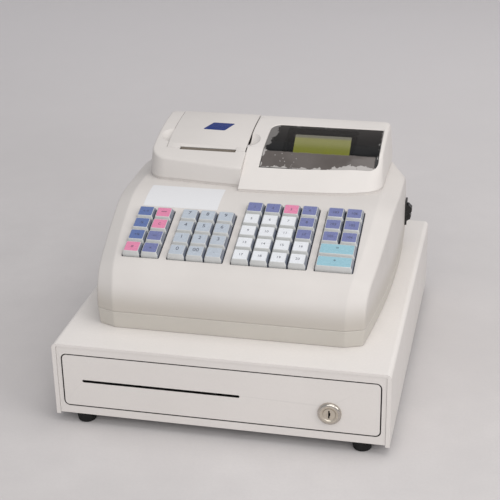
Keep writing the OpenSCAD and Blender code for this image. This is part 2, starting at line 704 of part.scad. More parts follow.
// Plan of the display housing; its front moves in further, so that the sloping face moves by e
module show_plan(e) polygon(concat(
    [[split_x + 0.2, house_back - e], [split_x + 0.2, show_y0 + e / sin(show_lean)]],
    [for (x = [10:22:98]) [x, show_y0 + e / sin(show_lean) + pow(max(0, x + 18), 2) / 1800]],
    arc([show_x1 - 26, show_y0 + 38], 26 - e, 285, 360, 12),
    [[show_x1 - e, house_back - e]]));

function print_side(e) = concat([[print_y0 + e, deck_z]],
    [for (i = [0:16]) let (y = print_y0 + 4 + e + (house_back - print_y0 - 4 - 2 * e) * i / 16)
        [y, print_roof(y) - e]],
    [[house_back - e, deck_z]]);

// Side profile behind the bend, from which the front slopes down to the foot
function show_side(e) = concat([[show_bend + e / 2, deck_z]],
    [for (i = [0:16]) let (y = show_bend + e / 2 + (house_back - show_bend - 1.5 * e) * i / 16)
        [y, show_roof(y) - e]],
    [[house_back - e, deck_z]]);

// Housing with drafted walls and broken upper edges; deeper e gives its cavity
module print_form(e) hull() {
    translate([0, 0, deck_z]) linear_extrude(0.1) print_plan(e);
    intersection() {
        along_x(-far, far) polygon(print_side(4 + e));
        linear_extrude(far) print_plan(2.5 + e);
    }
    intersection() {
        along_x(-far, far) polygon(print_side(e));
        linear_extrude(far) print_plan(6.5 + e);
    }
}

module show_form(e) hull() {
    translate([0, 0, deck_z]) linear_extrude(show_lip) show_plan(e);
    intersection() {
        along_x(-far, far) polygon(show_side(4 + e));
        linear_extrude(far) show_plan(2.5 + e);
    }
    intersection() {
        along_x(-far, far) polygon(show_side(e));
        linear_extrude(far) show_plan(6 + e);
    }
}

// Finger dish beside the lid, on the side s of the plane x
module dish(x, s, y_roof, grow) intersection() {
    translate([x - s * (scoop_r - scoop_in), scoop_y, y_roof + dish_up])
        rotate([0, 0, s > 0 ? 180 : 0]) sphere(dish_r + grow, $fn = 64);
    translate([s > 0 ? x : x - far, -far, deck_z]) cube([far, 2 * far, far]);
}

module printer_housing() color([0.90, 0.89, 0.85]) in_place() {
    difference() {
        intersection() {
            print_form(0);
            block(-far, split_x, -far, far, 0, far);
        }
        difference() {
            translate([0, 0, -eps]) print_form(wall);
            block(lid_x0 - wall - 0.4, lid_x0 - 0.4, lid_y0 - 6, house_back, deck_z - 1, far);
            dish(lid_x0 - 0.4, -1, print_roof(scoop_y), wall);
        }
        dish(lid_x0 - 0.4, -1, print_roof(scoop_y), 0);
        block(lid_x0 - 0.4, split_x + 1, lid_y0 - seam, house_back + 5, deck_z + wall, far);
        block(paper_x - slot_w / 2, paper_x + slot_w / 2, lid_y0 - 3.4, lid_y0, deck_z + wall + 12, far);
        rod_x(hinge_r + run_gap, lid_x0 - wall - 1, lid_x0 + 1, hinge_y, hinge_z);
    }
    difference() {
        intersection() {
            block(-far, split_x, print_y0, house_back - 0.2, deck_z, deck_z + wall);
            translate([0, 0, deck_z]) linear_extrude(10) print_plan(wall / 2);
        }
        block(paper_x - slot_w / 2 - 1, paper_x + slot_w / 2 + 1, bay_y - bay_r - 1, bay_y + bay_r + 1,
              deck_z - 1, deck_z + 9);
    }
    difference() {
        union() {
            block(lid_x1 - cheek_in, lid_x1 - cheek_in + cheek_t, hinge_y - 4.5, hinge_y + 4.5, deck_z + 1, hinge_z);
            rod_x(4.5, lid_x1 - cheek_in, lid_x1 - cheek_in + cheek_t, hinge_y, hinge_z);
            block(lid_x1 - cheek_in, lid_x1 - cheek_in + cheek_t, lid_y0 - 2, hinge_y, deck_z + 1, deck_z + 12);
        }
        rod_x(hinge_r + run_gap, lid_x1 - cheek_in - 1, lid_x1 + 1, hinge_y, hinge_z);
    }
    paper_bay();
}

// Trough that the paper roll drops into
module paper_bay() {
    x0 = paper_x - slot_w / 2 - 2.2;
    x1 = paper_x + slot_w / 2 + 2.2;
    difference() {
        union() {
            rod_x(bay_r + 2, x0, x1, bay_y, bay_z);
            block(x0, x1, bay_y - bay_r - 2, bay_y + bay_r + 2, bay_z, deck_z + wall);
        }
        rod_x(bay_r, x0 + 2, x1 - 2, bay_y, bay_z);
        block(x0 + 2, x1 - 2, bay_y - bay_r, bay_y + bay_r, bay_z, far);
        block(-far, far, -far, far, deck_z + wall, far);
    }
}

// The lid is a slice of the roof that turns down to form the back wall.
// It carries ears for the platen and lugs with the hinge pins.
function lid_curve(y0, y1, down) =
    [for (i = [0:16]) let (y = y0 + (y1 - y0) * i / 16) [y, print_roof(y) - down]];

module printer_lid() color([0.92, 0.91, 0.87]) in_place() {
    low = hinge_z - 5;
    difference() {
        along_x(lid_x0, lid_x1)
            polygon(concat(lid_curve(lid_y0, house_back - 1.2, 0),
                           [[house_back, roof_z - 1.2], [house_back, low], [house_back - lid_t, low]],
                           lid_curve(house_back - lid_t - 1, lid_y0, lid_t)));
        block(lid_x1 - cheek_in - 0.7, lid_x1 + 1, house_back - lid_t - 1, house_back + 1, low - 1, hinge_z + 6);
    }
    for (x = [lid_x0 + 1, lid_x1 - cheek_in - 4.2]) {
        rod_x(4.5, x, x + 3, hinge_y, hinge_z);
        block(x, x + 3, hinge_y, house_back - lid_t + 0.1, hinge_z - 4.5, hinge_z + 14);
    }
    rod_x(hinge_r, lid_x0 - wall - 0.2, lid_x0 + 2, hinge_y, hinge_z);
    rod_x(hinge_r, lid_x1 - cheek_in - 2, lid_x1 - cheek_in + 2.4, hinge_y, hinge_z);
    for (x = [paper_x - slot_w / 2 - 4.4, paper_x + slot_w / 2 + 2]) difference() {
        union() {
            rod_x(3.6, x, x + 2.4, platen_y, platen_z);
            block(x, x + 2.4, platen_y - 2.4, platen_y + 3.6, platen_z, print_roof(platen_y - 2.4) - lid_t + 0.3);
        }
        rod_x(platen_shaft_r + run_gap, x - 1, x + 3.4, platen_y, platen_z);
    }
}

module platen_roller() color([0.14, 0.14, 0.15]) in_place() {
    rod_x(platen_d / 2, paper_x - slot_w / 2 + 1, paper_x + slot_w / 2 - 1, platen_y, platen_z);
    rod_x(platen_shaft_r, paper_x - slot_w / 2 - 6, paper_x + slot_w / 2 + 5.5, platen_y, platen_z);
}

module printer_mechanism() color([0.30, 0.31, 0.33]) in_place() difference() {
    union() {
        block(paper_x - 34, paper_x + 34, print_y0 + 15, lid_y0 - 4.2, deck_z + wall, deck_z + 17.5);
        block(paper_x - 30, paper_x + 30, lid_y0 - 4.3, platen_y - platen_d / 2 - 0.8, deck_z + wall, deck_z + 20.5);
        block(paper_x - 30, paper_x + 30, lid_y0 - 1, platen_y + 4, deck_z + wall, deck_z + 6);
        rod_x(6.5, paper_x - 33, paper_x - 12, print_y0 + 22.5, deck_z + wall + 6.6);
    }
    block(paper_x - 28, paper_x + 24, print_y0 + 17.5, print_y0 + 25, deck_z + 12, deck_z + 20);
}

module paper_roll() color([0.95, 0.95, 0.94]) in_place() difference() {
    rod_x(roll_d / 2, paper_x - roll_w / 2, paper_x + roll_w / 2, bay_y, roll_z);
    rod_x(6, paper_x - roll_w, paper_x + roll_w, bay_y, roll_z);
}
roll_z = bay_z - (bay_r - roll_d / 2) + 0.3;

// ---------------------------------------------------------------- display
module window_shape(g) difference() {
    polygon(concat(
        [[window_x0 + g, window_y0 + g]],
        [for (x = [30:24:102]) [x, window_y0 + g + pow(max(0, x + 4), 2) / 1900]],
        arc([window_x1 - 11, window_y0 + 17.5], 11 - g, 285, 360, 5),
        [[window_x1 - 1.2 - g, window_y1 - g]],
        arc([window_x0 + 13, window_y1 - 12], 12 - g, 90, 180, 5)));
}

module display_housing() color([0.95, 0.95, 0.93]) in_place() difference() {
    intersection() {
        show_form(0);
        block(split_x + 0.2, far, -far, far, 0, far);
    }
    difference() {
        translate([0, 0, -eps]) show_form(wall);
        block(-far, split_x + 0.2 + wall, -far, far, 0, far);
        dish(split_x + 0.2, 1, show_roof(scoop_y), wall);
    }
    dish(split_x + 0.2, 1, show_roof(scoop_y), 0);
    translate([0, 0, deck_z + 12]) linear_extrude(60) window_shape(0);
}

// Pane bent as the housing is, set back from its face
module display_window() color([0.05, 0.05, 0.06]) in_place() intersection() {
    translate([0, 0, deck_z + 12]) linear_extrude(60) window_shape(pane_gap);
    difference() {
        show_form(pane_set);
        show_form(pane_set + pane_t);
    }
}

module lcd_module() color([0.42, 0.45, 0.30]) in_place() {
    translate(lcd_c) rotate([lcd_tilt, 0, 0]) {
        translate([-lcd_w / 2 - 8, -lcd_h / 2 - 4, -6]) cube([lcd_w + 16, lcd_h + 8, 1.6]);
        difference() {
            translate([-lcd_w / 2 - 4, -lcd_h / 2 - 2.5, -4.4 - eps]) cube([lcd_w + 8, lcd_h + 5, 4.4]);
            translate([-lcd_w / 2, -lcd_h / 2, -1.5]) cube([lcd_w, lcd_h, 3]);
        }
    }
    for (s = [-1, 1]) translate([lcd_c[0] + s * (lcd_w / 2 + 6) - 1.5, 0, 0])
        block(0, 3, lcd_c[1] - 2, lcd_c[1] + 8, deck_z, lcd_c[2] - 3.4);
}

// ---------------------------------------------------------------- power switch, inlet and boards
// Places children on the right wall: X back, Y up, Z out of the wall
module switch_place() translate([wall_half(switch_y), switch_y, switch_z])
    rotate([90, 0, 90 + atan((switch_y - bow_y) / bow_r)]) children();

module switch_bezel() color([0.08, 0.08, 0.09]) in_place() switch_place() difference() {
    union() {
        linear_extrude(2.2) round_box(switch_w, switch_h, 1.5);
        block(-switch_w / 2 + 1.8, switch_w / 2 - 1.8, -switch_h / 2 + 1.8, switch_h / 2 - 1.8, -16, 0.1);
    }
    block(-switch_w / 2 + 2.8, switch_w / 2 - 2.8, -switch_h / 2 + 3.2, switch_h / 2 - 3.2, -11, 9);
    rod_x(rocker_pin_r + run_gap, -switch_w / 2 + 1.9, switch_w / 2 - 1.9, 0, rocker_n);
}
rocker_pin_r = 1;
rocker_n = -3;
rocker_half = switch_h / 2 - 4.3;
rocker_rest = 7;

// The rocker is drawn pressed at its lower end
module power_rocker() color([0.06, 0.06, 0.07]) in_place() switch_place()
    translate([0, 0, rocker_n]) rotate([rocker_rest, 0, 0]) translate([0, 0, -rocker_n]) {
        along_x(-switch_w / 2 + 3.2, switch_w / 2 - 3.2)
            polygon([[-rocker_half, 2.6], [-6.6, 7], [-2.6, 7.4], [0, 5.4], [2.6, 7.4],
                     [6.6, 7], [rocker_half, 2.6], [rocker_half - 1.8, -2.4], [4, -5.4], [-4, -5.4],
                     [-rocker_half + 1.8, -2.4]]);
        rod_x(rocker_pin_r, -switch_w / 2 + 2, switch_w / 2 - 2, 0, rocker_n);
    }

inlet_x = 92;
inlet_z = case_h + 34;

module power_inlet() color([0.07, 0.07, 0.08]) in_place() difference() {
    union() {
        block(inlet_x - 13.6, inlet_x + 13.6, body_back - 16, body_back + 1, inlet_z - 10, inlet_z + 10);
        along_y(body_back, body_back + 2) translate([inlet_x, inlet_z]) round_box(32, 25, 3);
    }
    along_y(body_back - 14, body_back + 3) translate([inlet_x, inlet_z]) difference() {
        round_box(24, 16.5, 2);
        for (p = [[-7, -1], [0, 3], [7, -1]]) translate(p) square([2, 4], center = true);
    }
}

module main_board() color([0.12, 0.38, 0.20]) in_place() {
    z = board_z;
    block(-104, 104, body_set + 60, body_set + 200, z, z + 1.6);
    for (p = [[-80, 90, 34, 46, 22], [-30, 80, 28, 28, 4], [10, 84, 18, 18, 3], [40, 100, 26, 10, 8],
              [-60, 160, 20, 20, 14], [-20, 150, 36, 14, 5], [50, 150, 40, 30, 12]])
        block(p[0], p[0] + p[2], body_set + p[1], body_set + p[1] + p[3], z + 1.6 - eps, z + 1.6 + p[4]);
    for (x = [84, 94]) rod_z(4.5, z + 1.6 - eps, z + 14, x, body_set + 90);
}

module shell_screws() color([0.70, 0.71, 0.72]) in_place() for (p = post_xy) {
    rod_z(1.5, case_h + 2, seam_z + 12, p[0], p[1]);
    rod_z(3, case_h + 0.6, case_h + 3, p[0], p[1]);
}

case_cover();
case_base();
front_frame();
drawer_front();
drawer_box();
till_tray();
note_clip(0);  // note_clip_1
note_clip(1);  // note_clip_2
note_clip(2);  // note_clip_3
note_clip(3);  // note_clip_4
slide_rails();
drawer_runners();
lock_bezel();
lock_plug();
lock_cam();
latch_solenoid();
latch_hook();
eject_spring();
rubber_feet();
case_screws();
lower_shell();
upper_shell();
printer_housing();
printer_lid();
platen_roller();
printer_mechanism();
paper_roll();
display_housing();
display_window();
lcd_module();
switch_bezel();
power_rocker();
main_board();
key_board();
key_mat();
key_frame();
power_inlet();
shell_screws();
for (i = [0:11]) digit_key(i);
left_keys(0);  // left_keys_1
left_keys(1);  // left_keys_2
dept_keys(0);  // dept_keys_1
dept_keys(1);  // dept_keys_2
dept_keys(2);  // dept_keys_3
dept_keys(3);  // dept_keys_4
side_keys(0);  // side_keys_1
side_keys(1);  // side_keys_2
wide_key(1);  // wide_key_upper
wide_key(0);  // wide_key_lower
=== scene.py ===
"""The looks of a cash register that stands on its cash drawer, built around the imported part.

Sizes are in millimetres. X and Z are the part's own, and Y is counted from the front of the drawer case,
as in the part's source; place() turns such a point into the frame's metres. The camera and the lamps are
placed in metres."""
import bmesh
import bpy
import json
from math import atan, cos, pi, radians, sin, sqrt, tan
from mathutils import Matrix, Vector
from mathutils.bvhtree import BVHTree
from mathutils.geometry import delaunay_2d_cdt


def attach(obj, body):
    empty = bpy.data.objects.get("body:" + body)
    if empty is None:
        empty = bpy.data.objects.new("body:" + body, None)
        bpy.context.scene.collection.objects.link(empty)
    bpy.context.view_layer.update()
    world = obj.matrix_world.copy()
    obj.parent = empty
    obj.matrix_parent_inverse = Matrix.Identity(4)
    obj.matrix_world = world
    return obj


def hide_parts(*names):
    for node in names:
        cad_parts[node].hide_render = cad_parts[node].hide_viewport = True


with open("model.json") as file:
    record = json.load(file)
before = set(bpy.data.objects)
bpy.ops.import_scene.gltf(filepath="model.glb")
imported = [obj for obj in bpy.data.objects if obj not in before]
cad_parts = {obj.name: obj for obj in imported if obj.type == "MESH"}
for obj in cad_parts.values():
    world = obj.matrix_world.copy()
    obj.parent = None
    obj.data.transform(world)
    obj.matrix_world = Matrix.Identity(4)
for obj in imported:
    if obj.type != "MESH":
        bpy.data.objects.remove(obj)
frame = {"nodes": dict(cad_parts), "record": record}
NODES = frame["nodes"]
SLOTS = {part["node"]: part["material_slot"] for part in frame["record"]["subparts"]}
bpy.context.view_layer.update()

MM = 0.001
FRONT_Y = -187.6
FOOT_H = 10.0

# Body of the register
CASE_H = 80.4
BODY_SET = 43.5
BODY_BACK = 320.0
SEAM_Z = 99.0
NOSE_Z = 136.1
DECK_Z = 179.5
SLOPE = radians(18.5)
WALL = 2.4
BEVEL_DROP = 7.5
BASE_IN = 1.6
KNUCKLE_R = 42.0
KNUCKLE_C = (BODY_SET + KNUCKLE_R, NOSE_Z + tan(SLOPE) * KNUCKLE_R - KNUCKLE_R / cos(SLOPE))
BLEND_R = 120.0
FACE_TURN = 108.5
BLEND_C = (BODY_SET + (DECK_Z - NOSE_Z) / tan(SLOPE) + BLEND_R * tan(SLOPE / 2), DECK_Z - BLEND_R)
BACK_R = 14.0
BEVEL_BACK_R = 40.0
SWITCH_Y = BODY_SET + 260
SWITCH_Z = CASE_H + 42
INLET_X = 92.0
INLET_Z = CASE_H + 34
SWITCH_HALF = (6, 13)
INLET_HALF = (14, 10.5)
POSTS = [(-112, 59.5), (112, 59.5), (-122, 193.5), (122, 193.5), (-112, 306), (112, 306)]

WALL_HALF, WALL_MIDDLE, WALL_CURVE = 150.0, 239.815, 2760
CORE_HALF, CORE_START, CORE_CURVE = 131.5, 190.045, 1640

LOCK_C = (111.0, 32.0 + FOOT_H)

# Keyboard: centre, columns and rows of each bank
PITCH_X = 19.3
PITCH_Y = 18.35
KEYS_S = 34.0
KEY_GAP = 1.0
CAP_LOW = -1.6
STEM_LOW = -11.0
BANKS = [(-97.2, 2, 4), (-40.4, 3, 4), (35.4, 4, 5), (101.2, 2, 5)]

# Housings on the deck
SPLIT_X = -20.5
HOUSE_BACK = 318.0
PRINT_X0 = -129.0
PRINT_Y0 = 200.8
SHOW_X1 = 131.2
SHOW_Y0 = 189.5
ROOF_R = 265.0
ROOF_Z = 224.3
SHOW_ROOF_R = 290.0
SHOW_ROOF_Z = 225.3
SHOW_ROOF_Y = 325.0
SHOW_BEND = SHOW_Y0 + 47.5
SHOW_LIP = 2.6
LID_X0 = -110.0
LID_X1 = -21.6
LID_Y0 = 231.5
LID_GAP = 0.4
EAR_R = 4.5
SLOT_X = (-95.1, -31.9)
SLOT_Y = (229.0, 235.4)
HINGE = (310.0, 192.0)
PLATEN = (241.9, 201.0)
PAPER_X = -61.5
SLOT_W = 61.0
BAY = (274.0, 178.5)
BAY_R = 30.0
ROLL_R = 26.3
SCOOP_Y = 250.3
DISH_R = 20.0
DISH_UP = 15.04
SCOOP_OUT = 2.18
WINDOW = (-3.0, 124.6, 216.0, 289.5)
LCD_C = (57.8, 267.6, 209.3)
LCD_TILT = radians(37)
LCD_HOLE = (20, 88, SHOW_Y0 + 40, SHOW_Y0 + 66)


def place(point):
    """A point of the part in the frame's metres."""
    return Vector((point[0], point[1] + FRONT_Y, point[2] + FOOT_H)) * MM


def wall_half(y):
    """Half the body's width at its side walls."""
    return WALL_HALF - (y - WALL_MIDDLE) ** 2 / WALL_CURVE


def core_half(y):
    """Half the body's width where its face meets the bevel."""
    return CORE_HALF - max(0.0, CORE_START - y) ** 2 / CORE_CURVE


def print_roof(y):
    """The height of the printer housing's roof."""
    return ROOF_Z - ROOF_R + sqrt(ROOF_R ** 2 - (HOUSE_BACK - y) ** 2)


def show_roof(y):
    """The height of the display housing's roof."""
    return SHOW_ROOF_Z - SHOW_ROOF_R + sqrt(SHOW_ROOF_R ** 2 - (SHOW_ROOF_Y - y) ** 2)


def tilted(start, tilt, x, s, n):
    """A point on a tilted face: x across, s up the face and n out of it."""
    return Vector((start[0] + x, start[1] + s * cos(tilt) - n * sin(tilt),
                   start[2] + s * sin(tilt) + n * cos(tilt)))


def on_slope(x, s, n):
    """A point of the keyboard panel."""
    return tilted((0, BODY_SET, NOSE_Z), SLOPE, x, s, n)


def arc(centre, r, a0, a1, steps):
    """Points of an arc in a plane, with angles in degrees."""
    angles = [radians(a0 + (a1 - a0) * i / steps) for i in range(steps + 1)]
    return [Vector((centre[0] + r * cos(a), centre[1] + r * sin(a))) for a in angles]


def spots(*pairs):
    return [Vector(pair) for pair in pairs]


def circle(r, steps):
    """Pairs of a circle round the origin."""
    turns = [2 * pi * i / steps for i in range(steps)]
    return [(r * cos(a), r * sin(a)) for a in turns]


def line(a, b, steps):
    """Points from a up to but not b."""
    return [a + (b - a) * i / steps for i in range(steps)]


def bend(a, corner, b, steps):
    """A smooth corner from a to b, with both ends."""
    ts = [i / steps for i in range(steps + 1)]
    return [a * (1 - t) ** 2 + corner * 2 * t * (1 - t) + b * t * t for t in ts]


def round_rect(w, h, r, steps, cx=0.0, cy=0.0):
    """A rectangle with round corners, counterclockwise."""
    out = []
    for k, (sx, sy) in enumerate([(1, -1), (1, 1), (-1, 1), (-1, -1)]):
        centre = (cx + sx * (w / 2 - r), cy + sy * (h / 2 - r))
        out += arc(centre, r, -90 + 90 * k, 90 * k, steps)
    return out


def slope_ring(n, w, h, r, steps, x, s):
    """A rectangle with round corners about the point (x, s) of the keyboard panel, n out of it."""
    return [on_slope(p.x, p.y, n) for p in round_rect(w, h, r, steps, x, s)]


def inset_loop(loop, dists):
    """A counterclockwise loop with edge i moved inwards by dists[i]."""
    n = len(loop)
    out = []
    for i in range(n):
        a, b, c = loop[i - 1], loop[i], loop[(i + 1) % n]
        d0, d1 = dists[i - 1], dists[i]
        n0 = Vector((a.y - b.y, b.x - a.x)).normalized()
        n1 = Vector((b.y - c.y, c.x - b.x)).normalized()
        if n0.dot(n1) > 0.9995:
            out.append(b + (n0 * d0 + n1 * d1) / 2)
            continue
        cross = n0.x * n1.y - n0.y * n1.x
        p0, p1 = b + n0 * d0, b + n1 * d1
        t0 = Vector((n0.y, -n0.x))
        t1 = Vector((n1.y, -n1.x))
        k = ((p1 - p0).x * t1.y - (p1 - p0).y * t1.x) / (t0.x * t1.y - t0.y * t1.x) if cross else 0
        out.append(p0 + t0 * k)
    return out


def inside(p, loop):
    hit = False
    for i, a in enumerate(loop):
        b = loop[i - 1]
        if (a.y > p.y) != (b.y > p.y) and p.x < (b.x - a.x) * (p.y - a.y) / (b.y - a.y) + a.x:
            hit = not hit
    return hit


def edge_distance(p, loop):
    best = 1e9
    for i, a in enumerate(loop):
        b = loop[i - 1]
        d = b - a
        t = max(0.0, min(1.0, (p - a).dot(d) / max(d.length_squared, 1e-9)))
        best = min(best, (p - a - d * t).length)
    return best


# ------------------------------------------------------------------ meshes
class Shape:
    """Points and faces of a piece, in millimetres, with a look index for each face."""

    def __init__(self):
        self.points, self.faces, self.looks = [], [], []

    def add(self, points, faces, look=0):
        base = len(self.points)
        self.points += [Vector(p) for p in points]
        self.faces += [[base + i for i in face] for face in faces]
        self.looks += [look] * len(faces)
        return self

    def loft(self, rings, low=True, high=True, closed=True):
        """Skins rings of equal length, from the lowest to the highest."""
        n = len(rings[0])
        faces = []
        for k in range(len(rings) - 1):
            for i in range(n if closed else n - 1):
                j = (i + 1) % n
                faces.append([k * n + i, k * n + j, (k + 1) * n + j, (k + 1) * n + i])
        if low:
            faces.append(list(range(n))[::-1])
        if high:
            faces.append([(len(rings) - 1) * n + i for i in range(n)])
        return self.add([p for ring in rings for p in ring], faces)

    def block(self, x0, x1, y0, y1, z0, z1):
        ring = [(x0, y0), (x1, y0), (x1, y1), (x0, y1)]
        return self.loft([[(x, y, z) for x, y in ring] for z in (z0, z1)])

    def rod_x(self, r, x0, x1, y, z, bore=0.0):
        """A rod along X with soft end edges, bored through if bore is given."""
        soft = 0.3
        stack = [(x0, r - soft), (x0 + soft, r), (x1 - soft, r), (x1, r - soft)]
        if bore:
            stack += [(x1, bore), (x0, bore), stack[0]]
        rings = [[(x, y + a, z + b) for a, b in circle(q, 32)] for x, q in stack]
        return self.loft(rings, not bore, not bore)

    def prism_x(self, profile, x0, x1):
        """A side profile of (y, z) points drawn out along X."""
        return self.loft([[(x, p[0], p[1]) for p in profile] for x in (x0, x1)])

    def plate(self, loop, top, thick, holes=(), step=5.0, soft=0.0):
        """A curved plate over a plan loop, its upper face at the height top(x, y)."""
        flat = inset_loop(loop, [soft] * len(loop)) if soft else loop
        self.sheet(flat, top, holes, step)
        self.sheet(loop, lambda x, y: top(x, y) - thick, holes, step, False)
        rows = [[(p.x, p.y, top(p.x, p.y) - thick) for p in loop]]
        if soft:
            rows.append([(p.x, p.y, top(p.x, p.y) - soft) for p in loop])
        rows.append([(p.x, p.y, top(p.x, p.y)) for p in flat])
        self.loft(rows, False, False)
        for hole in holes:
            self.loft([[(p.x, p.y, top(p.x, p.y) - thick * t) for p in hole] for t in (0, 1)], False, False)
        return self

    def sheet(self, loop, top, holes, step, up=True):
        """Triangles over a plan loop, lifted to the height top(x, y)."""
        points = [Vector(p) for p in loop]
        edges = [(i, (i + 1) % len(loop)) for i in range(len(loop))]
        for hole in holes:
            base = len(points)
            points += [Vector(p) for p in hole]
            edges += [(base + i, base + (i + 1) % len(hole)) for i in range(len(hole))]
        xs, ys = [p.x for p in loop], [p.y for p in loop]
        nx, ny = int((max(xs) - min(xs)) / step), int((max(ys) - min(ys)) / step)
        for i in range(nx + 1):
            for j in range(ny + 1):
                p = Vector((min(xs) + (i + 0.5) * step, min(ys) + (j + 0.5) * step))
                if inside(p, loop) and edge_distance(p, loop) > step * 0.45 and not any(
                        inside(p, h) or edge_distance(p, h) < step * 0.45 for h in holes):
                    points.append(p)
        flat, _, faces, _, _, _ = delaunay_2d_cdt(points, edges, [], 1, 1e-6)
        kept = []
        for face in faces:
            a, b, c = [flat[i] for i in face[:3]]
            middle = (a + b + c) / 3
            if any(inside(middle, hole) for hole in holes):
                continue
            turn = (b - a).x * (c - a).y - (b - a).y * (c - a).x
            kept.append(list(face) if (turn > 0) == up else list(face)[::-1])
        return self.add([(p.x, p.y, top(p.x, p.y)) for p in flat], kept)

    def build(self, name, *looks):
        mesh = bpy.data.meshes.new(name)
        mesh.from_pydata([place(p) for p in self.points], [], self.faces)
        for look in looks:
            mesh.materials.append(look)
        mesh.polygons.foreach_set("material_index", self.looks)
        weld(mesh)
        return add_object(name, mesh)


def add_object(name, data):
    obj = bpy.data.objects.new(name, data)
    bpy.context.scene.collection.objects.link(obj)
    return obj


def modified(obj):
    """A new mesh of an object as its modifiers leave it."""
    graph = bpy.context.evaluated_depsgraph_get()
    return bpy.data.meshes.new_from_object(obj.evaluated_get(graph))


def weld(mesh):
    """Joins points that coincide and turns the faces outwards."""
    bm = bmesh.new()
    bm.from_mesh(mesh)
    bmesh.ops.remove_doubles(bm, verts=bm.verts, dist=2e-6)
    bmesh.ops.recalc_face_normals(bm, faces=bm.faces)
    bm.to_mesh(mesh)
    bm.free()


def settle(obj):
    """Applies the modifiers of a piece."""
    mesh = modified(obj)
    obj.modifiers.clear()
    old, obj.data = obj.data, mesh
    bpy.data.meshes.remove(old)
    return obj


def carve(obj, *cutters, operation="DIFFERENCE"):
    """Cuts closed shapes out of a piece and drops them."""
    for cutter in cutters:
        cut = obj.modifiers.new("cut", "BOOLEAN")
        cut.operation = operation
        cut.solver = "EXACT"
        cut.object = cutter
    settle(obj)
    for cutter in cutters:
        bpy.data.meshes.remove(cutter.data)
    return obj


def soften(obj, width, segments=2, angle=30):
    """Rounds a piece's sharp edges."""
    edge = obj.modifiers.new("edges", "BEVEL")
    edge.width = width * MM
    edge.segments = segments
    edge.limit_method = "ANGLE"
    edge.angle_limit = radians(angle)
    return obj


def finish(obj, body, slot, *nodes, angle=30):
    """Shades a piece smooth up to its sharp edges, and hangs it on its body."""
    obj.data.shade_smooth()
    obj.data.set_sharp_from_angle(angle=radians(angle))
    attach(obj, body)
    if nodes:
        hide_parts(*nodes)
    return obj


def crisp(obj):
    """Lets the largest faces set the shading, so that flats stay flat between their rounded edges."""
    flat = obj.modifiers.new("flat", "WEIGHTED_NORMAL")
    flat.keep_sharp = True
    flat.weight = 100
    return obj


# ------------------------------------------------------------------ materials
def srgb(r, g, b):
    """A colour given as it shows on a screen, 0 to 255."""
    shares = [c / 255 for c in (r, g, b)]
    return tuple(((c + 0.055) / 1.055) ** 2.4 if c > 0.04045 else c / 12.92 for c in shares) + (1.0,)


def scaled(colour, k):
    return tuple(min(1.0, c * k) for c in colour[:3]) + (1.0,)


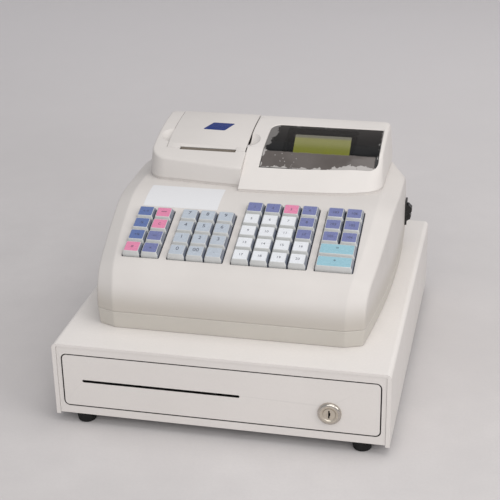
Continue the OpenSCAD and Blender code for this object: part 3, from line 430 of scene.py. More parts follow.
class Look:
    """A procedural material, built node by node from the piece's own coordinates."""

    def __init__(self, name, **sockets):
        self.mat = bpy.data.materials.new(name)
        self.mat.use_nodes = True
        self.tree = self.mat.node_tree
        self.shader = self.tree.nodes["Principled BSDF"]
        self.where = self.node("ShaderNodeTexCoord").outputs["Object"]
        self.normal = None
        for key, value in sockets.items():
            self.feed(self.shader.inputs[key.replace("_", " ")], value)

    def feed(self, socket, value):
        """Gives a socket a node's output or a plain value."""
        if isinstance(value, bpy.types.NodeSocket):
            self.tree.links.new(value, socket)
        else:
            socket.default_value = value

    def node(self, kind, inputs=None, **settings):
        made = self.tree.nodes.new(kind)
        for key, value in settings.items():
            setattr(made, key, value)
        for key, value in (inputs or {}).items():
            self.feed(made.inputs[key], value)
        return made

    def cover(self, colour, roughness):
        self.feed(self.shader.inputs["Base Color"], colour)
        self.feed(self.shader.inputs["Roughness"], roughness)

    def stretched(self, scale, turn=(0, 0, 0)):
        inputs = {"Vector": self.where, "Scale": scale, "Rotation": turn}
        return self.node("ShaderNodeMapping", inputs).outputs[0]

    def noise(self, size, detail, rough=0.5, where=None):
        """Noise whose features are about that many millimetres across."""
        inputs = {"Vector": where or self.where, "Scale": 1 / (size * MM)}
        inputs.update(Detail=detail, Roughness=rough)
        return self.node("ShaderNodeTexNoise", inputs).outputs["Fac"]

    def cells(self, size, output="Distance"):
        inputs = {"Vector": self.where, "Scale": 1 / (size * MM)}
        return self.node("ShaderNodeTexVoronoi", inputs).outputs[output]

    def span(self, value, a, b, to_a=0.0, to_b=1.0, smooth=False):
        """The value carried over from the range a to b into the range to_a to to_b."""
        inputs = {"Value": value, "From Min": a, "From Max": b, "To Min": to_a, "To Max": to_b}
        kind = "SMOOTHSTEP" if smooth else "LINEAR"
        return self.node("ShaderNodeMapRange", inputs, interpolation_type=kind).outputs["Result"]

    def drift(self, size, detail, a=0.0, b=1.0, rough=0.5):
        """Noise that wanders from a to b."""
        return self.span(self.noise(size, detail, rough), 0.3, 0.7, a, b)

    def patches(self, size, detail, rough, low, high, most):
        """Patches that grow to the strength most where noise rises from low to high."""
        return self.span(self.noise(size, detail, rough), low, high, 0.0, most)

    def math(self, kind, a, b=0.0):
        return self.node("ShaderNodeMath", {0: a, 1: b}, operation=kind).outputs[0]

    def plus(self, a, b):
        return self.math("ADD", a, b)

    def minus(self, a, b):
        return self.math("SUBTRACT", a, b)

    def times(self, a, b):
        return self.math("MULTIPLY", a, b)

    def mix(self, fac, a, b):
        return self.node("ShaderNodeMix", {0: fac, 6: a, 7: b}, data_type="RGBA").outputs[2]

    def shades(self, fac, colour, a, b):
        """A colour from a times to b times its brightness."""
        return self.mix(fac, scaled(colour, a), scaled(colour, b))

    def bump(self, height, depth, strength=1.0):
        """Relief of that many millimetres, over what is there."""
        inputs = {"Height": height, "Distance": depth * MM, "Strength": strength}
        if self.normal:
            inputs["Normal"] = self.normal
        self.normal = self.node("ShaderNodeBump", inputs).outputs[0]
        self.feed(self.shader.inputs["Normal"], self.normal)
        return self

    def axis(self, name):
        return self.node("ShaderNodeSeparateXYZ", {0: self.where}).outputs[name]

    def around(self, first, first_at, second, second_at):
        """The distance from a line, given by the two axes across it and its place on each in millimetres."""
        a = self.minus(self.axis(first), first_at * MM)
        b = self.minus(self.axis(second), second_at * MM)
        return self.math("SQRT", self.plus(self.times(a, a), self.times(b, b)))

    def worn(self, colour, wear, amount):
        """Blends towards the wear colour along raised edges."""
        point = self.node("ShaderNodeNewGeometry").outputs["Pointiness"]
        ragged = self.plus(point, self.drift(2.5, 2.0, -0.02, 0.02))
        return self.mix(self.span(ragged, 0.52, 0.60, 0.0, amount), colour, wear)


def moulded(name, colour, rough=0.42, grain=0.5, depth=0.012, tone=0.025, gloss=0.3, low=None):
    """Injection moulded plastic: spark-eroded grain, faint flow marks, handling shine and dust.

    low holds two heights and a colour of painted shade: below the first the plastic is painted that colour,
    which fades out by the second."""
    look = Look(name, Specular_IOR_Level=gloss)
    base = look.shades(look.drift(60, 3), colour, 1 - tone, 1 + tone)
    if low:
        z0, z1, under = low
        # Painted shade: the colour of low below z0, fading into the plastic's own colour by z1.
        base = look.mix(look.span(look.axis("Z"), z0 * MM, z1 * MM, smooth=True), under, base)
    dust = look.patches(1.1, 4, 0.7, 0.66, 0.74, 0.10)
    shine = look.plus(look.drift(24, 3, rough - 0.05, rough + 0.06, 0.6), look.drift(grain, 1, -0.03, 0.03))
    look.cover(look.mix(dust, base, scaled(colour, 0.72)), shine)
    return look.bump(look.cells(grain), depth, 0.6).bump(look.noise(9, 2), 0.02, 0.35).mat


def painted(name, colour, back=None):
    """Powder coat on sheet steel: orange peel, slight tone changes, scuffs and thin edges.

    back is how far behind the front a panel's edge keeps its own colour. From there a band reaching 4 mm
    further back is painted near black, as painted shade for the gap round the panel."""
    look = Look(name, Specular_IOR_Level=0.4)
    base = look.worn(look.shades(look.drift(90, 3), colour, 0.975, 1.015), scaled(colour, 0.86), 0.35)
    scuff = look.noise(5, 5, 0.7, look.stretched((0.3, 1, 1.6)))
    base = look.mix(look.span(scuff, 0.68, 0.78, 0.0, 0.16), base, scaled(colour, 0.82))
    if back is not None:
        # Painted shade: near black from back to 4 mm behind it, where the gap round the panel lies in shadow.
        y = look.minus(look.axis("Y"), (back + FRONT_Y) * MM)
        band = look.times(look.span(y, 0.0, 0.4 * MM), look.span(y, 3.6 * MM, 4.0 * MM, 1.0, 0.0))
        base = look.mix(band, base, srgb(34, 32, 30))
    look.cover(base, look.drift(30, 4, 0.33, 0.48, 0.6))
    return look.bump(look.noise(1.6, 2), 0.03, 0.5).bump(look.noise(0.25, 1), 0.004, 0.5).mat


def metal(name, colour, rough=0.3, brush=(1, 1, 14), spangle=0.0):
    """Plated or polished metal with brushing, spangle, smudges and darker worn spots."""
    look = Look(name, Metallic=1.0)
    streak = look.noise(3.5, 3, 0.6, look.stretched(brush))
    base = look.shades(look.span(streak, 0.3, 0.7), colour, 0.93, 1.05)
    if spangle:
        tone = look.node("ShaderNodeSeparateColor", {0: look.cells(7, "Color")}).outputs[0]
        base = look.mix(look.span(tone, 0, 1, 0.0, spangle), base, scaled(colour, 0.6))
    stain = look.patches(14, 4, 0.65, 0.52, 0.72, 0.12)
    shine = look.drift(6, 4, rough * 0.75, rough * 1.35, 0.7)
    look.cover(look.mix(stain, base, scaled(colour, 0.45)), shine)
    return look.bump(streak, 0.006, 0.5).mat


def lock_metal(name, rim, face, split, floor):
    """Turned metal round the lock's axis: a polished rim, a satin face inside split, and near black painted
    shade behind floor, in the keyway and other recesses.
    """
    look = Look(name, Metallic=1.0)
    radius = look.around("X", LOCK_C[0], "Z", LOCK_C[1])
    outer = look.span(radius, (split - 0.1) * MM, (split + 0.1) * MM)
    rings = look.span(look.math("SINE", look.times(radius, 9000.0)), -1.0, 1.0, 0.94, 1.04)
    smudge = look.patches(5, 4, 0.65, 0.5, 0.72, 0.25)
    base = look.mix(smudge, look.mix(outer, face, rim), scaled(face, 0.5))
    # Painted shade: faces behind floor, such as the keyway's walls, are painted near black.
    recess_shade = look.span(look.axis("Y"), (floor + FRONT_Y) * MM, (floor + FRONT_Y + 0.3) * MM)
    look.cover(look.mix(recess_shade, base, (0.006, 0.006, 0.006, 1)), look.span(outer, 0.0, 1.0, 0.34, 0.13))
    return look.bump(rings, 0.01, 0.3).mat


def rubber(name, colour, rough=0.72, grain=0.7):
    """Matt rubber with a sandy surface, bloom and a little dust."""
    look = Look(name, Specular_IOR_Level=0.25)
    base = look.mix(look.patches(11, 4, 0.65, 0.45, 0.75, 0.5), colour, scaled(colour, 2.2))
    dust = look.patches(0.9, 3, 0.7, 0.62, 0.72, 0.35)
    look.cover(look.mix(dust, base, srgb(120, 118, 114)), look.drift(8, 3, rough - 0.08, rough + 0.1))
    return look.bump(look.noise(grain, 3, 0.6), 0.05, 0.6).mat


def key_plastic(name, colour):
    """The clear cap's side: glossy grey-white with finger grease and fine scratches."""
    look = Look(name, Specular_IOR_Level=0.5, Coat_Weight=0.3, Coat_Roughness=0.08)
    grease = look.noise(5, 4, 0.6)
    look.cover(look.shades(look.span(grease, 0.3, 0.7), colour, 0.95, 1.03),
               look.span(grease, 0.35, 0.75, 0.16, 0.30))
    scratch = look.noise(0.6, 3, 0.7, look.stretched((1, 8, 1), (0, 0, 0.6)))
    return look.bump(scratch, 0.004, 0.4).bump(look.noise(7, 2), 0.02, 0.3).mat


def key_insert(name, colour, coat=0.6):
    """A printed paper insert under a clear skin."""
    look = Look(name, Specular_IOR_Level=coat, Coat_Weight=coat, Coat_Roughness=0.1)
    fibre = look.noise(0.35, 4, 0.7)
    base = look.shades(look.drift(7, 3), colour, 0.97, 1.03)
    look.cover(look.mix(look.span(fibre, 0.35, 0.75, 0.0, 0.06), base, scaled(colour, 0.8)),
               look.drift(4, 4, 0.2, 0.34, 0.6))
    return look.bump(fibre, 0.004, 0.3).mat


def ink(name, colour):
    """The print of the legends, a little patchy under the clear skin."""
    look = Look(name, Specular_IOR_Level=0.5, Coat_Weight=0.5, Coat_Roughness=0.12)
    patchy = look.span(look.noise(0.5, 3, 0.7), 0.3, 0.75)
    look.cover(look.mix(patchy, colour, scaled(colour, 1.35)), look.drift(2, 3, 0.25, 0.4))
    return look.bump(look.noise(0.3, 2), 0.003, 0.3).mat


def paper(name, colour, rough=0.75, curl=0.0, gloss=0.2):
    """Paper: fibres, a faint mottle and, on a roll, the edges of its turns, curl apart."""
    look = Look(name, Specular_IOR_Level=gloss)
    fibre = look.noise(0.5, 5, 0.75)
    base = look.shades(look.span(fibre, 0.3, 0.75), colour, 1.02, 0.94)
    if curl:
        radius = look.around("Y", BAY[0] + FRONT_Y, "Z", BAY[1] - BAY_R + ROLL_R + FOOT_H)
        turns = look.math("SINE", look.times(radius, 2 * pi / (curl * MM)))
        base = look.mix(look.span(turns, -1, 1, 0.0, 0.25), base, scaled(colour, 0.72))
        look.bump(turns, 0.03, 0.5)
    look.cover(base, look.drift(12, 3, rough - 0.08, rough + 0.08))
    return look.bump(fibre, 0.012, 0.5).mat


def circuit(name, colour):
    """Solder mask over copper tracks."""
    look = Look(name, Specular_IOR_Level=0.5)
    bricks = {"Vector": look.where, "Scale": 1 / (9 * MM), "Mortar Size": 0.06, "Mortar Smooth": 0.1,
              "Bias": -0.2, "Brick Width": 1.7, "Row Height": 0.32}
    tracks = look.node("ShaderNodeTexBrick", bricks).outputs["Fac"]
    base = look.shades(look.drift(20, 3), colour, 0.9, 1.1)
    look.cover(look.mix(tracks, base, scaled(colour, 1.9)), look.drift(6, 3, 0.28, 0.42))
    return look.bump(tracks, 0.03, 0.6).mat


def winding(name, wire, frame_colour, low=15.5, high=34.7, fade=0.2):
    """A solenoid: enamelled copper wire between plated flanges, which lie below low and above high."""
    look = Look(name, Metallic=1.0)
    z = look.axis("Z")
    turns = look.math("SINE", look.times(z, 2 * pi / (0.7 * MM)))
    coil = look.mix(look.span(turns, -1, 1, 0.0, 0.6), wire, scaled(wire, 0.35))
    wound = look.times(look.span(z, low * MM, (low + fade) * MM),
                       look.span(z, (high - fade) * MM, high * MM, 1.0, 0.0))
    look.cover(look.mix(wound, frame_colour, coil), look.drift(5, 3, 0.28, 0.45))
    return look.bump(look.times(turns, wound), 0.12, 0.7).mat


# ------------------------------------------------------------------ body of the register
CORE_BEND = 1.5
WALL_BEND = 2.6
WALL_ROWS = 7
RIM = 0.8


def profile_stations():
    """Points (y, z) of the flat face's outline, each with its match on the wall's and the inward normal."""
    out = []

    def ring(core_c, core_r, wall_c, wall_r, a0, a1, steps):
        for d in arc((0, 0), 1, a0, a1, steps)[1:]:
            out.append((Vector(core_c) + d * core_r, Vector(wall_c) + d * wall_r, -d))

    def run(target, steps):
        a, b = out[-1], target
        for i in range(1, steps + 1):
            t = i / steps
            out.append((a[0].lerp(b[0], t), a[1].lerp(b[1], t), b[2]))

    top, low = DECK_Z - BEVEL_DROP, SEAM_Z + RIM
    for i in range(WALL_ROWS + 1):
        z = low + (KNUCKLE_C[1] - low) * i / WALL_ROWS
        out.append((Vector((BODY_SET, z)), Vector((BODY_SET + BEVEL_DROP, z)), Vector((1, 0))))
    first = len(out) - 1
    ring(KNUCKLE_C, KNUCKLE_R, KNUCKLE_C, KNUCKLE_R - BEVEL_DROP, 180, FACE_TURN, 18)
    start = arc((0, 0), 1, FACE_TURN, FACE_TURN, 1)[0]
    run((Vector(BLEND_C) + start * BLEND_R, Vector(BLEND_C) + start * (BLEND_R - BEVEL_DROP), -start), 7)
    ring(BLEND_C, BLEND_R, BLEND_C, BLEND_R - BEVEL_DROP, FACE_TURN, 90, 9)
    core, wall = BODY_BACK - BACK_R, BODY_BACK - BEVEL_DROP - BEVEL_BACK_R
    run((Vector((core, DECK_Z)), Vector((wall, top)), Vector((0, -1))), 9)
    ring((core, DECK_Z - BACK_R), BACK_R, (wall, top - BEVEL_BACK_R), BEVEL_BACK_R, 90, 0, 14)
    last = len(out) - 1
    run((Vector((BODY_BACK, low)), Vector((BODY_BACK - BEVEL_DROP, low)), Vector((-1, 0))), WALL_ROWS)
    return out, first, last


def section(core, wall, inward):
    """Half a section of the body from its middle to the start of its side wall."""
    c = Vector((core_half(core.x), core.x, core.y))
    w = Vector((wall_half(wall.x), wall.x, wall.y))
    down = wall + inward * WALL_BEND
    w_end = Vector((wall_half(down.x), down.x, down.y))
    slant = (w - c).normalized()
    flat = c - Vector((CORE_BEND, 0, 0))
    middle = Vector((0, core.x, core.y))
    return (line(middle, flat, 4) + bend(flat, c, c + slant * CORE_BEND, 5)
            + bend(w - slant * WALL_BEND, w, w_end, 6))


def body_skin():
    """The outside of the upper shell, open at the seam, and the loop of its rim."""
    stations, first, last = profile_stations()
    halves = [section(*s) for s in stations]
    n = len(halves[0])
    rows = [[Vector((-p.x, p.y, p.z)) for p in half[:0:-1]] + half for half in halves]
    width = 2 * n - 1
    points = [p for row in rows for p in row]
    faces = []
    for k in range(len(rows) - 1):
        for i in range(width - 1):
            a = k * width + i
            faces.append([a, a + 1, a + width + 1, a + width])
    rims = []
    for side in (0, width - 1):
        columns = []
        for k in range(first, last + 1):
            top = points[k * width + side]
            column = [k * width + side]
            for j in range(1, WALL_ROWS + 1):
                if k == first:
                    column.append((first - j) * width + side)
                elif k == last:
                    column.append((last + j) * width + side)
                else:
                    z = top.z + (SEAM_Z + RIM - top.z) * j / WALL_ROWS
                    column.append(len(points))
                    points.append(Vector((top.x, top.y, z)))
            columns.append(column)
        for a, b in zip(columns, columns[1:]):
            for j in range(WALL_ROWS):
                faces.append([a[j], a[j + 1], b[j + 1], b[j]])
        rims.append([column[-1] for column in columns[1:-1]])
    front = [i for i in range(width)]
    back = [(len(rows) - 1) * width + i for i in range(width)]
    rim = front + rims[1] + back[::-1] + rims[0][::-1]
    return points, faces, rim


def rim_ring(rim, z, dist):
    flat = inset_loop([Vector((p.x, p.y)) for p in rim], [dist] * len(rim))
    return [Vector((p.x, p.y, z)) for p in flat]


def bank_cutter(x, columns, rows):
    """A prism through the panel for a bank of keys, with a chamfered mouth."""
    low, high, grow, flare = -8, 3, 0.4, 0.45
    w, h = columns * PITCH_X + 2 * grow, rows * PITCH_Y + 2 * grow
    cy = KEYS_S + rows * PITCH_Y / 2
    rings = [slope_ring(n, w + more, h + more, 1.4 + more / 2, 4, x, cy)
             for n, more in ((low, 0), (-flare, 0), (high, 2 * (high + flare)))]
    return Shape().loft(rings).build("cutter")


def box_cutter(*sizes):
    return Shape().block(*sizes).build("cutter")


def switch_point(a, b, n):
    """A point of the power switch: a to the back, b up and n out of the right wall."""
    turn = atan((SWITCH_Y - WALL_MIDDLE) * 2 / WALL_CURVE)
    out = Vector((cos(turn), sin(turn), 0))
    along = Vector((-sin(turn), cos(turn), 0))
    return Vector((wall_half(SWITCH_Y), SWITCH_Y, SWITCH_Z)) + along * a + Vector((0, 0, b)) + out * n


def make_body(look, base_look):
    points, faces, rim = body_skin()
    loop = [points[i] for i in rim]
    n, lip = len(rim), len(points)
    points += rim_ring(loop, SEAM_Z, RIM)
    faces += [[rim[i], lip + i, lip + (i + 1) % n, rim[(i + 1) % n]] for i in range(n)]
    top = Shape().add(points, faces).build("body_top", look)
    thick = top.modifiers.new("wall", "SOLIDIFY")
    thick.thickness = WALL * MM
    thick.offset = -1
    thick.use_even_offset = True
    settle(top)
    cutters = [bank_cutter(*bank) for bank in BANKS]
    deck = (DECK_Z - 10, DECK_Z + 5)
    w, d = SLOT_W / 2 + 3.2, BAY_R + 3
    cutters.append(box_cutter(PAPER_X - w, PAPER_X + w, BAY[0] - d, BAY[0] + d, *deck))
    cutters.append(box_cutter(*LCD_HOLE, *deck))
    w, h = SWITCH_HALF
    hole = [[switch_point(a, b, n) for a, b in ((-w, -h), (w, -h), (w, h), (-w, h))] for n in (-9, 9)]
    cutters.append(Shape().loft(hole).build("cutter"))
    w, h = INLET_HALF
    cutters.append(box_cutter(INLET_X - w, INLET_X + w, BODY_BACK - 12, BODY_BACK + 5,
                              INLET_Z - h, INLET_Z + h))
    carve(top, *cutters)
    crisp(finish(top, "case", "body_plastic", "upper_shell"))

    base = Shape()
    foot = CASE_H + 0.05
    rows = [(foot, BASE_IN + 1.0), (foot + 0.3, BASE_IN + 0.3), (foot + 1.2, BASE_IN - 0.1),
            (SEAM_Z - 9, BASE_IN * 0.45), (SEAM_Z - 0.9, 0.0), (SEAM_Z - 0.05, 0.9)]
    outer = [rim_ring(loop, z, d) for z, d in rows]
    inner = [rim_ring(loop, z, d + WALL) for z, d in ((SEAM_Z - 0.05, 0.0), (CASE_H + WALL, BASE_IN))]
    base.loft(outer + inner)
    for x, y in POSTS:
        post = [(CASE_H + WALL - 0.3, 4.4), (CASE_H + WALL + 1, 4.0), (SEAM_Z - 0.3, 4.0), (SEAM_Z, 3.7)]
        base.loft([[(x + a, y + b, z) for a, b in circle(r, 24)] for z, r in post])
    crisp(finish(base.build("body_base", base_look), "case", "lower_plastic", "lower_shell"))


# ------------------------------------------------------------------ housings on the deck
BACK_TURN = 5.0
HOUSE_LEAN = 2.8
HOUSE_BOW = 4.6
SEAM_BOW = 0.7
FOOT_IN = 0.8


def housing(loops, roof, deck=DECK_Z):
    """A closed form whose walls rise from its base loop, lean to the knee and bend over to the crown."""
    wall_rows, bend_rows = 3, 6
    base, top = loops[0], DECK_Z + SHOW_LIP
    foot = inset_loop(base, [FOOT_IN] * len(base))
    rings = [[] for _ in range(wall_rows + bend_rows + 4)]
    for b, f, k, c in zip(base, foot, *loops[1:]):
        f = Vector((b.x, f.y)) if abs(b.x - SPLIT_X) < 4 else f
        low = Vector((b.x, b.y, top + 0.35))
        knee = Vector((k.x, k.y, roof(k.y)))
        crown = Vector((c.x, c.y, roof(c.y)))
        start = knee + (low - knee).normalized() * (crown - knee).length
        path = [Vector((f.x, f.y, deck)), Vector((f.x, f.y, top - 0.2)), Vector((*b.lerp(f, 0.35), top))]
        path += line(low, start, wall_rows) + bend(start, knee, crown, bend_rows)
        for ring, p in zip(rings, path):
            ring.append(p)
    plan = [Vector((p.x, p.y)) for p in rings[-1]]
    return Shape().loft(rings, high=False).sheet(plan, lambda x, y: roof(y), (), 7.0)


def height_over(shape):
    """The height of a shape's upper side at a place in the plan."""
    tree = BVHTree.FromPolygons(shape.points, shape.faces)
    return lambda x, y: tree.ray_cast(Vector((x, y, 400)), Vector((0, 0, -1)))[0].z


def house_loop(front, corner, x_left, x_right, back, mirror=False):
    """A plan loop from its front edge round the front corner, the side, the back and the seam side."""
    s = -1 if mirror else 1
    turn = arc((x_right - s * BACK_TURN, back - BACK_TURN), BACK_TURN, 180 if mirror else 0, 90, 8)
    seam = Vector((x_left, back))
    loop = (front + corner[:-1] + line(corner[-1], turn[0], 6) + turn[:-1] + line(turn[-1], seam, 9)
            + line(seam, front[0], 18))
    return loop[::-1] if mirror else loop


def oval(centre, rx, ry, a0, a1, steps):
    out = []
    for i in range(steps + 1):
        a = radians(a0 + (a1 - a0) * i / steps)
        out.append(Vector((centre[0] + rx * cos(a), centre[1] + ry * sin(a))))
    return out


def show_loops(cut, crease):
    """Base, knee and crown of the display housing, moved in by cut; crease rounds the bend of its face."""
    lean = atan((show_roof(SHOW_BEND) - DECK_Z - SHOW_LIP) / (SHOW_BEND - SHOW_Y0))
    x0, x1, y1 = SPLIT_X + 0.2 + cut, SHOW_X1 - cut, HOUSE_BACK - cut
    foot, bend_y = SHOW_Y0 + cut / sin(lean), SHOW_BEND + cut / 2
    xs = (-8, 8, 30, 52, 74, 96)
    base = house_loop([Vector((x, foot + max(0.0, x + 18) ** 2 / 1800)) for x in (x0,) + xs],
                      arc((SHOW_X1 - 26, SHOW_Y0 + 38), 26 - cut, 285, 360, 14), x0, x1, y1)
    x1, y1, r = x1 - HOUSE_LEAN, y1 - HOUSE_LEAN, 8.0
    knee = house_loop([Vector((x, bend_y)) for x in (x0,) + xs],
                      oval((x1 - r, bend_y + r), r, r, 270, 360, 14), x0, x1, y1)
    x0, x1, y1, r_in = x0 + SEAM_BOW, x1 - HOUSE_BOW, y1 - HOUSE_BOW, r - HOUSE_BOW
    crown = house_loop([Vector((x, bend_y + crease)) for x in (x0,) + xs],
                       oval((x1 - r_in, bend_y + r), r_in, r - crease, 270, 360, 14), x0, x1, y1)
    return base, knee, crown


def print_loops(cut):
    """Base, knee and crown of the printer housing, moved in by cut."""
    x0, x1, y0, y1 = PRINT_X0 + cut, SPLIT_X - cut, PRINT_Y0 + cut, HOUSE_BACK - cut
    centre, r = (PRINT_X0 + 24, PRINT_Y0 + 32.5), 24 - cut
    loops = []
    for front, side, seam in ((0.0, 0.0, 0.0), (4.4, HOUSE_LEAN, 0.0), (6.4, HOUSE_LEAN + 2.8, SEAM_BOW)):
        corner = []
        for p in arc(centre, r, 180, 264, 14)[::-1]:
            share = min(1.0, (centre[1] - p.y) / r)
            corner.append(p + (Vector(centre) - p).normalized() * (side + (front - side) * share))
        edge = line(Vector((x1 - seam, y0 + front)), corner[0], 8)
        loops.append(house_loop(edge, corner, x1 - seam, x0 + side, y1 - side, mirror=True))
    return loops


def dish_cutter(edge, x, side, roof, grow=0.0):
    """The ball that scoops the finger dish beside the lid's edge, cut off at x."""
    centre = Vector((edge - side * SCOOP_OUT, SCOOP_Y, roof(SCOOP_Y) + DISH_UP))
    rings = []
    for i in range(1, 48):
        a = pi * i / 48
        rings.append([centre + Vector((sin(a) * c, sin(a) * s, -cos(a))) * (DISH_R + grow)
                      for c, s in circle(1, 96)])
    ball = Shape().loft(rings).build("cutter")
    far = (x, x + 60) if side > 0 else (x - 60, x)
    keep = box_cutter(*far, SCOOP_Y - 80, SCOOP_Y + 80, DECK_Z, DECK_Z + 120)
    return carve(ball, keep, operation="INTERSECT")


def window_loop():
    """The window's plan, in short steps."""
    x0, x1, y0, y1 = WINDOW
    loop = [Vector((x0, y0))]
    loop += [Vector((x, y0 + max(0.0, x + 4) ** 2 / 1900)) for x in range(30, 103, 12)]
    loop += arc((x1 - 11, y0 + 17.5), 11, 285, 360, 8)
    loop += [Vector((x1, SHOW_BEND))]
    loop += arc((x1 - 1.2 - 2, y1 - 2), 2, 0, 90, 4)
    loop += arc((x0 + 13, y1 - 12), 12, 90, 180, 8)
    loop += [Vector((x0 + 0.5, SHOW_BEND))]
    dense = []
    for a, b in zip(loop, loop[1:] + loop[:1]):
        dense += line(a, b, max(1, round((b - a).length / 4)))
    return dense


def make_display(look, pane_look):
    outer = housing(show_loops(0.0, 5.0), show_roof).build("display_housing_skin", look)
    cavity = housing(show_loops(WALL, 4.0), lambda y: show_roof(y) - WALL, DECK_Z - 1).build("cutter")
    edge = SPLIT_X + 0.2
    carve(cavity, dish_cutter(edge, edge - 1, 1, show_roof, WALL))
    face = height_over(housing(show_loops(0.0, 0.5), show_roof))
    loop = window_loop()
    heights = [face(p.x, p.y) for p in loop]
    mouth = []
    for low, g in ((-40, 0.0), (-0.9, 0.0), (0.1, -0.9), (4, -4.8), (40, -4.8)):
        ring = inset_loop(loop, [g] * len(loop))
        mouth.append([(p.x, p.y, z + low) for p, z in zip(ring, heights)])
    carve(outer, cavity, dish_cutter(edge, edge - 1, 1, show_roof), Shape().loft(mouth).build("cutter"))
    finish(outer, "case", "display_plastic", "display_housing")

    pane = Shape().plate(inset_loop(loop, [0.2] * len(loop)), lambda x, y: face(x, y) - 0.5, 2.0, soft=0.25)
    finish(pane.build("window_pane", pane_look), "case", "window_plastic", "display_window", angle=10)


def slot_cutter():
    """The paper slot: a straight mouth with a sloped back lip, across the lid's front seam."""
    front, back = SLOT_Y
    low, high = DECK_Z + 20, ROOF_Z + 5
    profile = [(front, low), (back + 4, low), (back, print_roof(back) - 1.2),
               (back + 3.2, print_roof(back + 3.2)), (back + 5.0, high), (front - 1.0, high),
               (front, print_roof(front) - 0.5)]
    return Shape().prism_x(profile[::-1], *SLOT_X).build("cutter")


def make_printer(look, dark):
    edge = LID_X0 - LID_GAP
    outer = housing(print_loops(0.0), print_roof).build("printer_housing_skin", look)
    cavity = housing(print_loops(WALL), lambda y: print_roof(y) - WALL, DECK_Z - 1).build("cutter")
    carve(cavity, box_cutter(edge - WALL, edge + 0.3, LID_Y0 - 3, HOUSE_BACK + 3, DECK_Z - 3, DECK_Z + 80),
          dish_cutter(edge, edge + 0.15, -1, print_roof, WALL))
    opening = box_cutter(edge, SPLIT_X + 1, LID_Y0 - LID_GAP, HOUSE_BACK + 5, DECK_Z + WALL, DECK_Z + 80)
    carve(outer, cavity, dish_cutter(edge, edge + 1, -1, print_roof), opening, slot_cutter())
    finish(outer, "case", "body_plastic", "printer_housing")
    make_bay(look)
    make_lid(look, dark)


def make_bay(look):
    """The floor under the lid, the trough for the paper roll, and the lug for the lid's right pin."""
    inner = Shape()
    x_low, x_high = PAPER_X - SLOT_W / 2 - 2.2, PAPER_X + SLOT_W / 2 + 2.2
    y_low, y_high = BAY[0] - BAY_R - 2, BAY[0] + BAY_R + 2
    left, right, back, play = PRINT_X0 + 6, SPLIT_X - 1, HOUSE_BACK - 3.2, 0.1
    floor = spots((left, PRINT_Y0 + 34), (-100, PRINT_Y0 + 14), (right, PRINT_Y0 + 6), (right, back),
                  (left, back))
    well = spots((x_low + play, y_low + play), (x_high - play, y_low + play),
                 (x_high - play, y_high - play), (x_low + play, y_high - play))
    inner.plate(floor, lambda x, y: DECK_Z + WALL, WALL - play, [well], 12.0)
    top, turns = DECK_Z + WALL - play / 2, 28
    trough = [(y_low, top), (y_low, BAY[1])] + arc(BAY, BAY_R + 2, 180, 360, turns)
    trough += [(y_high, top), (y_high - 2, top)] + arc(BAY, BAY_R, 360, 180, turns) + [(y_low + 2, top)]
    inner.prism_x(trough[::-1], x_low, x_high)
    cheek = [(y_low + 1.5, top)] + arc(BAY, BAY_R + 0.5, 180, 360, turns) + [(y_high - 1.5, top)]
    for x in (x_low, x_high - 2):
        inner.prism_x(cheek[::-1], x, x + 2)
    lug, thick = LID_X1 - 3.4, 2.4
    inner.block(lug, lug + thick, HINGE[0] - EAR_R, HINGE[0] + EAR_R, DECK_Z + 1, HINGE[1])
    inner.rod_x(EAR_R, lug, lug + thick, *HINGE, bore=2.06)
    inner.block(lug, lug + thick, LID_Y0 + 2, HINGE[0], DECK_Z + 1, DECK_Z + 12)
    finish(inner.build("printer_bay", look), "case", "body_plastic")


